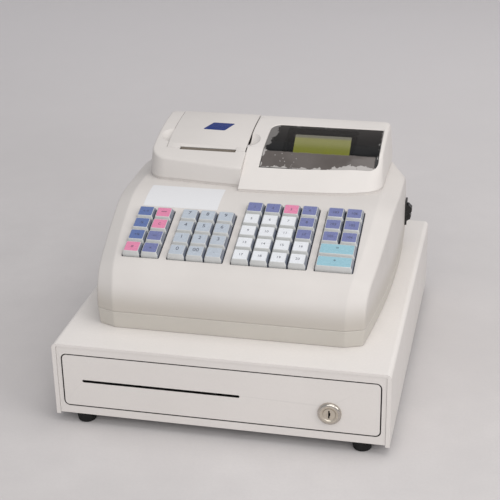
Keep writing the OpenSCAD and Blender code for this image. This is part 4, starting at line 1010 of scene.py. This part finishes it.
def make_lid(look, dark):
    """The lid: a slice of the roof that turns down as the back wall, with ears, lugs and hinge pins."""
    low, turn, inside_y = HINGE[1] - 5, 3.0, HOUSE_BACK - WALL
    ys = [LID_Y0 + (HOUSE_BACK - turn - LID_Y0) * i / 30 for i in range(31)]
    knee, foot = Vector((HOUSE_BACK, ROOF_Z - turn)), Vector((HOUSE_BACK, low))
    outer = spots(*((y, print_roof(y)) for y in ys))
    outer += bend(outer[-1], Vector((HOUSE_BACK, ROOF_Z)), knee, 6)[1:] + line(knee, foot, 3)[1:] + [foot]
    inner = spots((inside_y, low), (inside_y, print_roof(inside_y) - WALL))
    inner += spots(*((y, print_roof(y) - WALL) for y in ys[::-1] if y < inside_y - 1))
    skin = Shape().prism_x((outer + inner)[::-1], LID_X0, LID_X1).build("printer_lid_skin", look)
    notch = box_cutter(LID_X1 - 4.1, LID_X1 + 1, inside_y - 1, HOUSE_BACK + 1, low - 1, HINGE[1] + 6)
    carve(skin, notch, slot_cutter())
    settle(soften(skin, 0.5, 3, 40))
    finish(skin, "lid", "body_plastic", "printer_lid")

    back = SLOT_Y[1] + 0.5
    lip = print_roof(back) - 1.4
    # Painted shade: the gate takes the dark look, a darker brown-grey copy of the body plastic for the shade
    # inside the paper slot.
    gate = Shape().block(SLOT_X[0] - 1, SLOT_X[1] + 1, back, back + 1.2, lip - 6, lip)
    finish(gate.build("paper_gate", dark), "lid", "body_plastic")

    fittings = Shape()
    for x in (LID_X0 + 1, LID_X1 - 7.6):
        fittings.rod_x(EAR_R, x, x + 3, *HINGE)
        fittings.block(x, x + 3, HINGE[0], inside_y + 0.1, HINGE[1] - EAR_R, HINGE[1] + 14)
    for x0, x1 in ((LID_X0 - WALL - 0.2, LID_X0 + 2), (LID_X1 - 5.4, LID_X1 - 1.0)):
        fittings.rod_x(2.0, x0, x1, *HINGE)
    y, z = PLATEN
    for x in (PAPER_X - SLOT_W / 2 - 4.4, PAPER_X + SLOT_W / 2 + 2):
        fittings.rod_x(3.6, x, x + 2.4, y, z, bore=1.56)
        fittings.block(x, x + 2.4, y - 2.4, y + 3.6, z + 3.0, print_roof(y) - WALL + 0.2)
    for x in (-100, -79, -44, -29):
        rib = [(y, print_roof(y) - WALL + 0.1) for y in (262, 275, 288, 300, 312)]
        rib += [(312, print_roof(312) - WALL - 5), (262, print_roof(262) - WALL - 5)]
        fittings.prism_x(rib[::-1], x, x + 1.2)
    finish(fittings.build("lid_fittings", look), "lid", "body_plastic")


# ------------------------------------------------------------------ keys
TOP_IN = 1.25
WELL_N = 5.78
# Rings of a cap: how far out of the panel, how far in from the cap's outline, and the corners' radius
CAP_ROWS = ((CAP_LOW, 0.25, 1.2), (CAP_LOW + 0.4, 0.0, 1.3), (1.9, 0.1, 1.5), (2.5, 0.22, 1.6),
            (2.9, 0.4, 1.6), (4.9, TOP_IN - 0.3, 1.6), (5.5, TOP_IN, 1.5), (5.82, TOP_IN + 0.2, 1.3),
            (5.98, TOP_IN + 0.5, 1.1), (5.98, TOP_IN + 0.65, 1.0), (WELL_N, TOP_IN + 0.75, 1.0))
STEM_ROWS = ((STEM_LOW, 2.7), (STEM_LOW + 0.3, 3.0), (CAP_LOW + 0.1, 3.0))
DIGITS = "7 8 9 4 5 6 1 2 3 0 00 point".split()
CAP, SHADED_SIDE, PINK, BLUE, VIOLET, WHITE, DIGIT, SKY, LEGEND = range(9)
LEFT = ([PINK, BLUE, BLUE, BLUE], [VIOLET, VIOLET, PINK, PINK])
DEPT = ([WHITE] * 4 + [VIOLET], [WHITE] * 4 + [VIOLET], [WHITE] * 4 + [PINK], [WHITE] * 2 + [VIOLET] * 3)
LEFT_TEXT = (["#", "+%", "-%", "< >"], ["x", "+/-", "C", "***"])


def key_spot(bank, c, r):
    x, columns, _ = BANKS[bank]
    return x + (c - (columns - 1) / 2) * PITCH_X, KEYS_S + (r + 0.5) * PITCH_Y


def glyphs(text, size, x, s, n):
    """Flat characters that stand on the point (x, s, n) of the panel, as points and faces."""
    curve = bpy.data.curves.new("glyph", "FONT")
    curve.body = text
    curve.size = size
    curve.align_x = curve.align_y = "CENTER"
    curve.extrude = 0.025
    curve.resolution_u = 3
    obj = add_object("glyph", curve)
    mesh = modified(obj)
    points = [on_slope(x + v.co.x, s + v.co.y, n + v.co.z) for v in mesh.vertices]
    faces = [list(p.vertices) for p in mesh.polygons]
    bpy.data.objects.remove(obj)
    bpy.data.meshes.remove(mesh)
    bpy.data.curves.remove(curve)
    return points, faces


def add_cap(shape, x, s, columns, legend, look, size=4.6, rise=0.0):
    """A key: clear cap with a well in its top, the coloured insert in the well, its legend, and the stem."""
    w, d = columns * PITCH_X - KEY_GAP, PITCH_Y - KEY_GAP
    rings = [slope_ring(n, w - 2 * e, d - 2 * e, r, 4, x, s) for n, e, r in CAP_ROWS]
    first = len(shape.faces)
    shape.loft(rings, high=False)
    for i in range(first, len(shape.faces)):
        p, q, r = [shape.points[k] for k in shape.faces[i][:3]]
        out = (q - p).cross(r - p)
        # Painted shade: walls that face left or right get a darker blue-grey look, the shade in the narrow
        # gaps between key columns.
        if abs(out.x) > 0.8 * out.length:
            shape.looks[i] = SHADED_SIDE
    flat = rings[-1]
    shape.add(flat, [list(range(len(flat)))], look)
    for c in range(columns):
        cx = x + (c - (columns - 1) / 2) * PITCH_X
        shape.loft([slope_ring(n, 2 * h, 2 * h, 0.6, 2, cx, s) for n, h in STEM_ROWS])
    if legend:
        shape.add(*glyphs(legend, size, x, s + rise, WELL_N + 0.04), LEGEND)


def make_keys(looks):
    def key_piece(node, caps):
        shape = Shape()
        for cap in caps:
            add_cap(shape, *cap)
        used = sorted(set(shape.looks))
        shape.looks = [used.index(i) for i in shape.looks]
        made = shape.build("cap_" + node, *[looks[i] for i in used])
        finish(made, node, SLOTS[node], node, angle=28)

    for i, digit in enumerate(DIGITS):
        x, s = key_spot(1, i % 3, 3 - i // 3)
        key_piece("key_" + digit, [(x, s, 1, "." if digit == "point" else digit, DIGIT, 6.8, 1.6)])
    for c in range(2):
        left = [(*key_spot(0, c, r), 1, LEFT_TEXT[c][r], LEFT[c][r]) for r in range(4)]
        side = [(*key_spot(3, c, r), 1, str(99 + 3 * c + r), VIOLET) for r in (2, 3, 4)]
        key_piece(f"left_keys_{c + 1}", left)
        key_piece(f"side_keys_{c + 1}", side)
    for c in range(4):
        dept = [(*key_spot(2, c, r), 1, str((4 - r) * 4 + c + 1), DEPT[c][r]) for r in range(5)]
        key_piece(f"dept_keys_{c + 1}", dept)
    for node, r, legend in (("wide_key_upper", 1, "="), ("wide_key_lower", 0, "+")):
        x, s = key_spot(3, 0, r)
        key_piece(node, [(x + PITCH_X / 2, s, 2, legend, SKY, 6.0, 1.6)])


# ------------------------------------------------------------------ badge, label and stage
def make_badge(look):
    """The blank badge on the lid: a thin plate that follows the roof."""
    corners, round_by = spots((-77.8, 269.2), (-52.8, 268.4), (-44.6, 284.9), (-69.2, 285.3)), 1.6
    loop = []
    for i, p in enumerate(corners):
        before, after = [p + (q - p).normalized() * round_by for q in (corners[i - 1], corners[(i + 1) % 4])]
        loop += bend(before, p, after, 4)
    plate = Shape().plate(loop, lambda x, y: print_roof(y) + 0.35, 0.5, soft=0.12)
    finish(plate.build("lid_badge", look), "lid", "body_plastic", angle=40)


LABEL = (-115.0, -34.0, 113.0, 154.0)


def slope_height(s):
    """The height of the body's face over the panel's plane: below 0 where it turns into the deck."""
    start = (BLEND_C[0] + BLEND_R * cos(radians(FACE_TURN)) - BODY_SET) / cos(SLOPE)
    return sqrt(BLEND_R ** 2 - max(0.0, s - start) ** 2) - BLEND_R


def make_label(look):
    """The blank paper label above the keys; it follows the bend into the deck."""
    x0, x1, s0, s1 = LABEL
    steps, low, high, corner = 16, 0.01, 0.16, 1.5
    rows = []
    for i in range(steps + 1):
        s = s0 + (s1 - s0) * (1 - cos(pi * i / steps)) / 2
        near = min(s - s0, s1 - s)
        cut = corner - sqrt(max(0.0, corner ** 2 - max(0.0, corner - near) ** 2))
        ring = ((x0 + cut, low), (x0 + cut, high), (x1 - cut, high), (x1 - cut, low))
        rows.append([on_slope(x, s, slope_height(s) + n) for x, n in ring])
    finish(Shape().loft(rows).build("front_label", look), "case", "body_plastic", angle=40)


def make_stage():
    """A pale cloth backdrop that lies under the object and rises far behind it."""
    start, turn, r = -2600, 1800, 900
    angles = [pi / 2 * i / 12 for i in range(1, 13)]
    sweep = [(start, 0), (turn, 0)] + [(turn + r * sin(a), r * (1 - cos(a))) for a in angles]
    sweep.append((turn + r, 3200))
    rows = [[(x, y - FRONT_Y, z - FOOT_H) for y, z in sweep] for x in (-3200, 3200)]
    look = Look("backdrop_cloth", Specular_IOR_Level=0.1)
    folds = look.noise(420, 3)
    weave = look.noise(3.0, 4, 0.7)
    tone = look.mix(look.span(folds, 0.35, 0.65), srgb(196, 192, 191), srgb(207, 203, 202))
    cloth = look.mix(look.drift(45, 4, 0.0, 0.35, 0.6), tone, srgb(191, 187, 187))
    cloth = look.mix(look.span(weave, 0.3, 0.7, 0.0, 0.25), cloth, srgb(189, 185, 184))
    # Painted light: the cloth is painted paler from 0.2 m in front to 1.6 m behind, where the lamps light it
    # less.
    back = look.span(look.axis("Y"), -0.2, 1.6, smooth=True)
    look.cover(look.mix(back, cloth, srgb(228, 224, 224)), 0.95)
    look.bump(weave, 0.2, 0.4).bump(folds, 10, 0.5)
    obj = Shape().loft(rows, False, False, False).build("backdrop", look.mat)
    obj.data.shade_smooth()


def make_camera():
    """The camera that was solved from the photo."""
    right = Vector((0.97635132, 0.21559603, -0.01601379))
    down = Vector((0.07444141, -0.40480982, -0.91136572))
    ahead = Vector((-0.20296938, 0.88862104, -0.41128588))
    lens = bpy.data.cameras.new("camera")
    lens.sensor_width = 36
    lens.lens = 91.26
    lens.clip_end = 20
    obj = add_object("camera", lens)
    pose = Matrix((right, -down, -ahead)).transposed().to_4x4()
    pose.translation = Vector((0.272826, -1.228538, 0.690912))
    obj.matrix_world = pose
    bpy.context.scene.camera = obj


def lamp(name, spot, size, power, colour):
    """A soft box that is aimed at the object."""
    light = bpy.data.lights.new(name, "AREA")
    light.shape = "RECTANGLE"
    light.size, light.size_y = size
    light.energy = power
    light.color = colour
    obj = add_object(name, light)
    obj.location = spot
    aim = Vector((0, 0, 0.1)) - Vector(spot)
    obj.rotation_euler = aim.to_track_quat("-Z", "Y").to_euler()


def make_light():
    world = bpy.data.worlds.new("studio")
    bpy.context.scene.world = world
    world.use_nodes = True
    sky = world.node_tree.nodes["Background"]
    sky.inputs["Color"].default_value = (0.94, 0.96, 1.0, 1.0)
    sky.inputs["Strength"].default_value = 0.47
    lamp("overhead", (0.6, -0.15, 1.85), (1.7, 1.5), 15, (1.0, 0.985, 0.96))
    lamp("front_fill", (0.25, -2.0, 1.35), (2.0, 1.4), 18.5, (1.0, 0.985, 0.97))
    lamp("right_fill", (1.7, -0.9, 1.1), (1.2, 1.0), 10, (1.0, 0.98, 0.96))


# ------------------------------------------------------------------ what stays from the part
def smoother():
    """A geometry group that shades a mesh smooth up to its sharp edges."""
    group = bpy.data.node_groups.new("smooth_shading", "GeometryNodeTree")
    for way in ("INPUT", "OUTPUT"):
        group.interface.new_socket("Geometry", in_out=way, socket_type="NodeSocketGeometry")
    start, faces, edges, angle, small, end = [group.nodes.new(kind) for kind in (
        "NodeGroupInput", "GeometryNodeSetShadeSmooth", "GeometryNodeSetShadeSmooth",
        "GeometryNodeInputMeshEdgeAngle", "FunctionNodeCompare", "NodeGroupOutput")]
    edges.domain = "EDGE"
    small.operation = "LESS_THAN"
    small.inputs[1].default_value = radians(32)
    group.links.new(start.outputs[0], faces.inputs[0])
    group.links.new(faces.outputs[0], edges.inputs[0])
    group.links.new(angle.outputs["Unsigned Angle"], small.inputs[0])
    group.links.new(small.outputs[0], edges.inputs["Shade Smooth"])
    group.links.new(edges.outputs[0], end.inputs[0])
    return group


SMOOTHER = smoother()


def dress(node, look, edge):
    """Gives a node of the part its material and soft edges, without touching its mesh."""
    obj = NODES[node]
    obj.data.materials.clear()
    obj.data.materials.append(look)
    join = obj.modifiers.new("join", "WELD")
    join.merge_threshold = 0.004 * MM
    if edge:
        soften(obj, edge)
    even = obj.modifiers.new("even", "NODES")
    even.node_group = SMOOTHER
    crisp(obj)


# ------------------------------------------------------------------ display
def make_lcd():
    """The glass in the display module's recess: olive, made to glow as painted light though it has no
    backlight, and greyer towards its top as painted shade.
    """
    width, height = 63, 25
    rings = []
    for n, e in ((-1.5, 0.1), (-0.35, 0.1), (-0.15, 0.3)):
        outline = round_rect(width - 2 * e, height - 2 * e, 0.8, 3)
        rings.append([tilted(LCD_C, LCD_TILT, p.x, p.y, n) for p in outline])
    # Painted light: the glass glows through its emission colour.
    look = Look("lcd_olive_glow", Specular_IOR_Level=0.5, Emission_Strength=2.5)
    low, high = [LCD_C[2] + s * sin(LCD_TILT) + FOOT_H for s in (-height / 2, height / 2)]
    z = look.axis("Z")
    # Painted light and shade: the glow is dimmer in its lowest few millimetres and turns grey near its top.
    rise = look.span(z, (low + 3) * MM, (low + 10) * MM, smooth=True)
    top_shade = look.span(z, (high - 3.5) * MM, (high - 1.5) * MM, smooth=True)
    glass = look.mix(rise, (0.66, 0.69, 0.08, 1), (0.96, 0.95, 0.36, 1))
    glass = look.mix(top_shade, glass, (0.66, 0.63, 0.52, 1))
    cloud = look.drift(9, 3, 0.0, 0.15)
    look.cover(look.mix(cloud, srgb(96, 94, 56), srgb(84, 82, 50)), look.drift(6, 3, 0.1, 0.2))
    look.feed(look.shader.inputs["Emission Color"], look.mix(cloud, glass, (0.60, 0.57, 0.22, 1)))
    look.bump(look.noise(14, 2), 0.02, 0.3)
    finish(Shape().loft(rings).build("lcd_face", look.mat), "case", "lcd_glass", angle=40)


def smoked(name):
    """Smoked acrylic: clear only over the display; below its bend painted a lighter grey as painted
    reflection, inside a near-black rim of painted shade; scraps of film at its edges.
    """
    look = Look(name, Specular_IOR_Level=0.22, Coat_Weight=0.2, Coat_Roughness=0.05)
    plus, minus, times = look.plus, look.minus, look.times
    x, y = look.axis("X"), look.axis("Y")

    def least(*distances):
        found = distances[0]
        for other in distances[1:]:
            found = look.math("MINIMUM", found, other)
        return found

    def either(a, b):
        return look.math("MAXIMUM", a, b)

    def within(half, axis, middle):
        """How far inside a band a point lies, from its middle line."""
        return minus(half * MM, look.math("ABSOLUTE", minus(axis, middle * MM)))

    ragged = times(look.span(look.noise(11, 4, 0.6), 0.25, 0.75, -1.0, 1.0), 1 * MM)
    bend_y, top_y = (SHOW_BEND + FRONT_Y) * MM, (WINDOW[3] + FRONT_Y) * MM
    fold = plus(y, times(ragged, 0.8))
    face = look.span(fold, bend_y - 0.8 * MM, bend_y + 0.2 * MM, 1.0, 0.0)
    curve = times(times(x, x), 1000 / 3000)
    low = minus(minus(y, curve), (WINDOW[2] + FRONT_Y) * MM)
    left, right = minus(x, WINDOW[0] * MM), minus(WINDOW[1] * MM, x)
    top = minus(top_y, y)
    scrap = look.span(x, 66 * MM, 82 * MM, 1.2 * MM, 5.6 * MM, smooth=True)
    wedge = minus(left, times(low, 0.12))
    near = least(minus(low, scrap), minus(wedge, 1.6 * MM), minus(top, 0.6 * MM), minus(right, 0.6 * MM))
    # Painted shade: the grey stops 3.4 mm short of the right edge and 0.9 to 1.3 mm inside the others,
    # leaving a near-black rim where the pane meets its frame.
    face = times(face, look.span(minus(right, 3.4 * MM), 0.0, 0.6 * MM))
    inner = look.span(least(low, left, right, top), 0.9 * MM, 1.3 * MM)
    edge = look.span(plus(near, times(ragged, 4.5)), -0.3 * MM, 0.4 * MM, 1.0, 0.0)
    dots = times(look.span(look.cells(4.2), 0.12, 0.16, 1.0, 0.0), face)
    film = either(times(edge, inner), times(dots, look.span(look.noise(26, 2), 0.5, 0.6)))
    dark = look.mix(look.span(y, bend_y, top_y), srgb(10, 10, 10), srgb(38, 35, 32))
    # Painted reflection: below the bend the face is painted a lighter warm grey, the room reflected in it.
    reflected_grey = look.mix(look.drift(30, 3), srgb(84, 78, 75), srgb(98, 92, 89))
    base = look.mix(times(face, inner), dark, reflected_grey)
    haze = look.span(y, bend_y, bend_y + 4 * MM, 0.75, 0.3)
    shine = look.span(look.noise(4, 4, 0.65), 0.35, 0.75, 0.06, 0.16)
    look.cover(look.mix(times(film, haze), base, srgb(184, 180, 177)), plus(shine, times(film, 0.3)))
    look.bump(look.noise(22, 2), 0.03, 0.4).bump(film, 0.05, 0.5)
    pane = least(within(39, x, LCD_C[0]), within(24, y, LCD_C[1] - 7.6 + FRONT_Y))
    over = look.span(pane, -1 * MM, 1 * MM)
    cover = either(look.span(over, 0.0, 1.0, 0.95, 0.68), either(face, film))
    clear = look.node("ShaderNodeBsdfTransparent", {"Color": (0.96, 0.96, 0.95, 1)})
    both = look.node("ShaderNodeMixShader", {0: cover, 1: clear.outputs[0], 2: look.shader.outputs[0]})
    look.feed(look.tree.nodes["Material Output"].inputs["Surface"], both.outputs[0])
    return look.mat


# ------------------------------------------------------------------ the register
# Painted shade: back=1.05 paints the gap round the drawer front near black.
FRONT_PAINT = painted("front_paint", srgb(222, 217, 213), back=1.05)
# Painted shade: the upper shell is painted darker and browner towards its seam.
SHADE = (SEAM_Z + FOOT_H + 3, SEAM_Z + FOOT_H + 30, srgb(190, 184, 176))
BODY = moulded("body_plastic", srgb(207, 202, 198), low=SHADE)
ZINC = metal("zinc_sheet", (0.60, 0.61, 0.62, 1), 0.32, (1, 1, 6), spangle=0.35)
STEEL = metal("screw_steel", (0.58, 0.58, 0.58, 1), 0.3)
SATIN = (0.66, 0.60, 0.51, 1)
GLOSS_BLACK = moulded("switch_plastic", srgb(20, 20, 21), 0.28, 0.5, 0.006, 0.1, 0.5)
INLET = moulded("inlet_plastic", srgb(26, 26, 27), 0.5, 0.5, 0.02, 0.08)
INSERTS = (("pink", 216, 128, 162), ("blue", 86, 106, 158), ("violet", 108, 114, 160),
           ("white", 220, 222, 226), ("digit", 176, 184, 194), ("sky", 142, 184, 197))
# Painted shade: the side look is a darker blue-grey copy of the clear caps' plastic, for their shaded walls.
KEY_LOOKS = [key_plastic("key_cap_clear", srgb(198, 199, 198)),
             key_plastic("key_cap_shaded_side", srgb(124, 129, 141))]
KEY_LOOKS += [key_insert("key_insert_" + name, srgb(*colour)) for name, *colour in INSERTS]
KEY_LOOKS.append(ink("key_legend", srgb(52, 54, 70)))

make_camera()
make_light()
make_stage()
make_body(BODY, moulded("lower_plastic", srgb(196, 191, 183)))
make_display(moulded("display_plastic", srgb(213, 208, 204)), smoked("window_plastic"))
# Painted shade: the paper gate's look is body plastic painted a darker brown-grey, for the shade inside the
# slot.
make_printer(BODY, moulded("gate_shaded_plastic", srgb(150, 140, 129), 0.6))
make_keys(KEY_LOOKS)
make_badge(key_insert("badge_film", srgb(30, 50, 112), 0.2))
make_label(paper("label_paper", srgb(218, 218, 220), 0.5, gloss=0.3))
make_lcd()

# The part's own nodes that stay: their look, the width of their soft edges, and their names
for look, edge, names in (
        (painted("case_paint", srgb(224, 219, 215)), 0.3, "case_cover"),
        (FRONT_PAINT, 0.3, "front_frame"),
        (FRONT_PAINT, 0.9, "drawer_front"),
        (ZINC, 0.25, "case_base drawer_box slide_rails"),
        (ZINC, 0.2, "latch_hook"),
        (moulded("till_plastic", srgb(30, 30, 32), 0.55, 0.6, 0.03, 0.08), 0.6, "till_tray"),
        (moulded("clip_plastic", srgb(42, 42, 45), 0.5, 0.6, 0.02, 0.08), 0.25,
         "note_clip_1 note_clip_2 note_clip_3 note_clip_4"),
        (moulded("runner_nylon", srgb(226, 224, 212), 0.5, 0.8, 0.01), 0.5, "drawer_runners"),
        (lock_metal("lock_chrome", (0.56, 0.52, 0.47, 1), SATIN, 8.9, 40.0), 0.15, "lock_bezel"),
        (lock_metal("lock_nickel", SATIN, SATIN, 20.0, -2.1), 0.15, "lock_plug"),
        (STEEL, 0.2, "lock_cam"),
        (STEEL, 0.25, "case_screws shell_screws"),
        (winding("coil_copper", srgb(170, 96, 52), (0.55, 0.56, 0.57, 1)), 0.2, "latch_solenoid"),
        (metal("spring_steel", (0.42, 0.42, 0.43, 1), 0.35), 0, "eject_spring"),
        (rubber("foot_rubber", srgb(26, 26, 26)), 0.3, "rubber_feet"),
        (rubber("platen_rubber", srgb(44, 44, 45), 0.6, 0.4), 0.2, "platen_roller"),
        (rubber("mat_rubber", srgb(128, 130, 134), 0.6), 0, "key_mat"),
        (moulded("mechanism_plastic", srgb(62, 63, 66), 0.45, 0.5, 0.02, 0.06), 0.4, "printer_mechanism"),
        (moulded("frame_plastic", srgb(84, 90, 108), 0.5, 0.5, 0.015), 0.2, "key_frame"),
        (paper("paper_roll", srgb(240, 240, 237), curl=0.9), 0.3, "paper_roll"),
        (circuit("board_green", srgb(28, 96, 52)), 0.15, "main_board key_board"),
        (INLET, 0.25, "lcd_module"),
        (INLET, 0.4, "power_inlet"),
        (GLOSS_BLACK, 0.3, "switch_bezel"),
        (GLOSS_BLACK, 0.35, "power_rocker")):
    for node in names.split():
        dress(node, look, edge)

view = bpy.context.scene.view_settings
view.view_transform = "Standard"
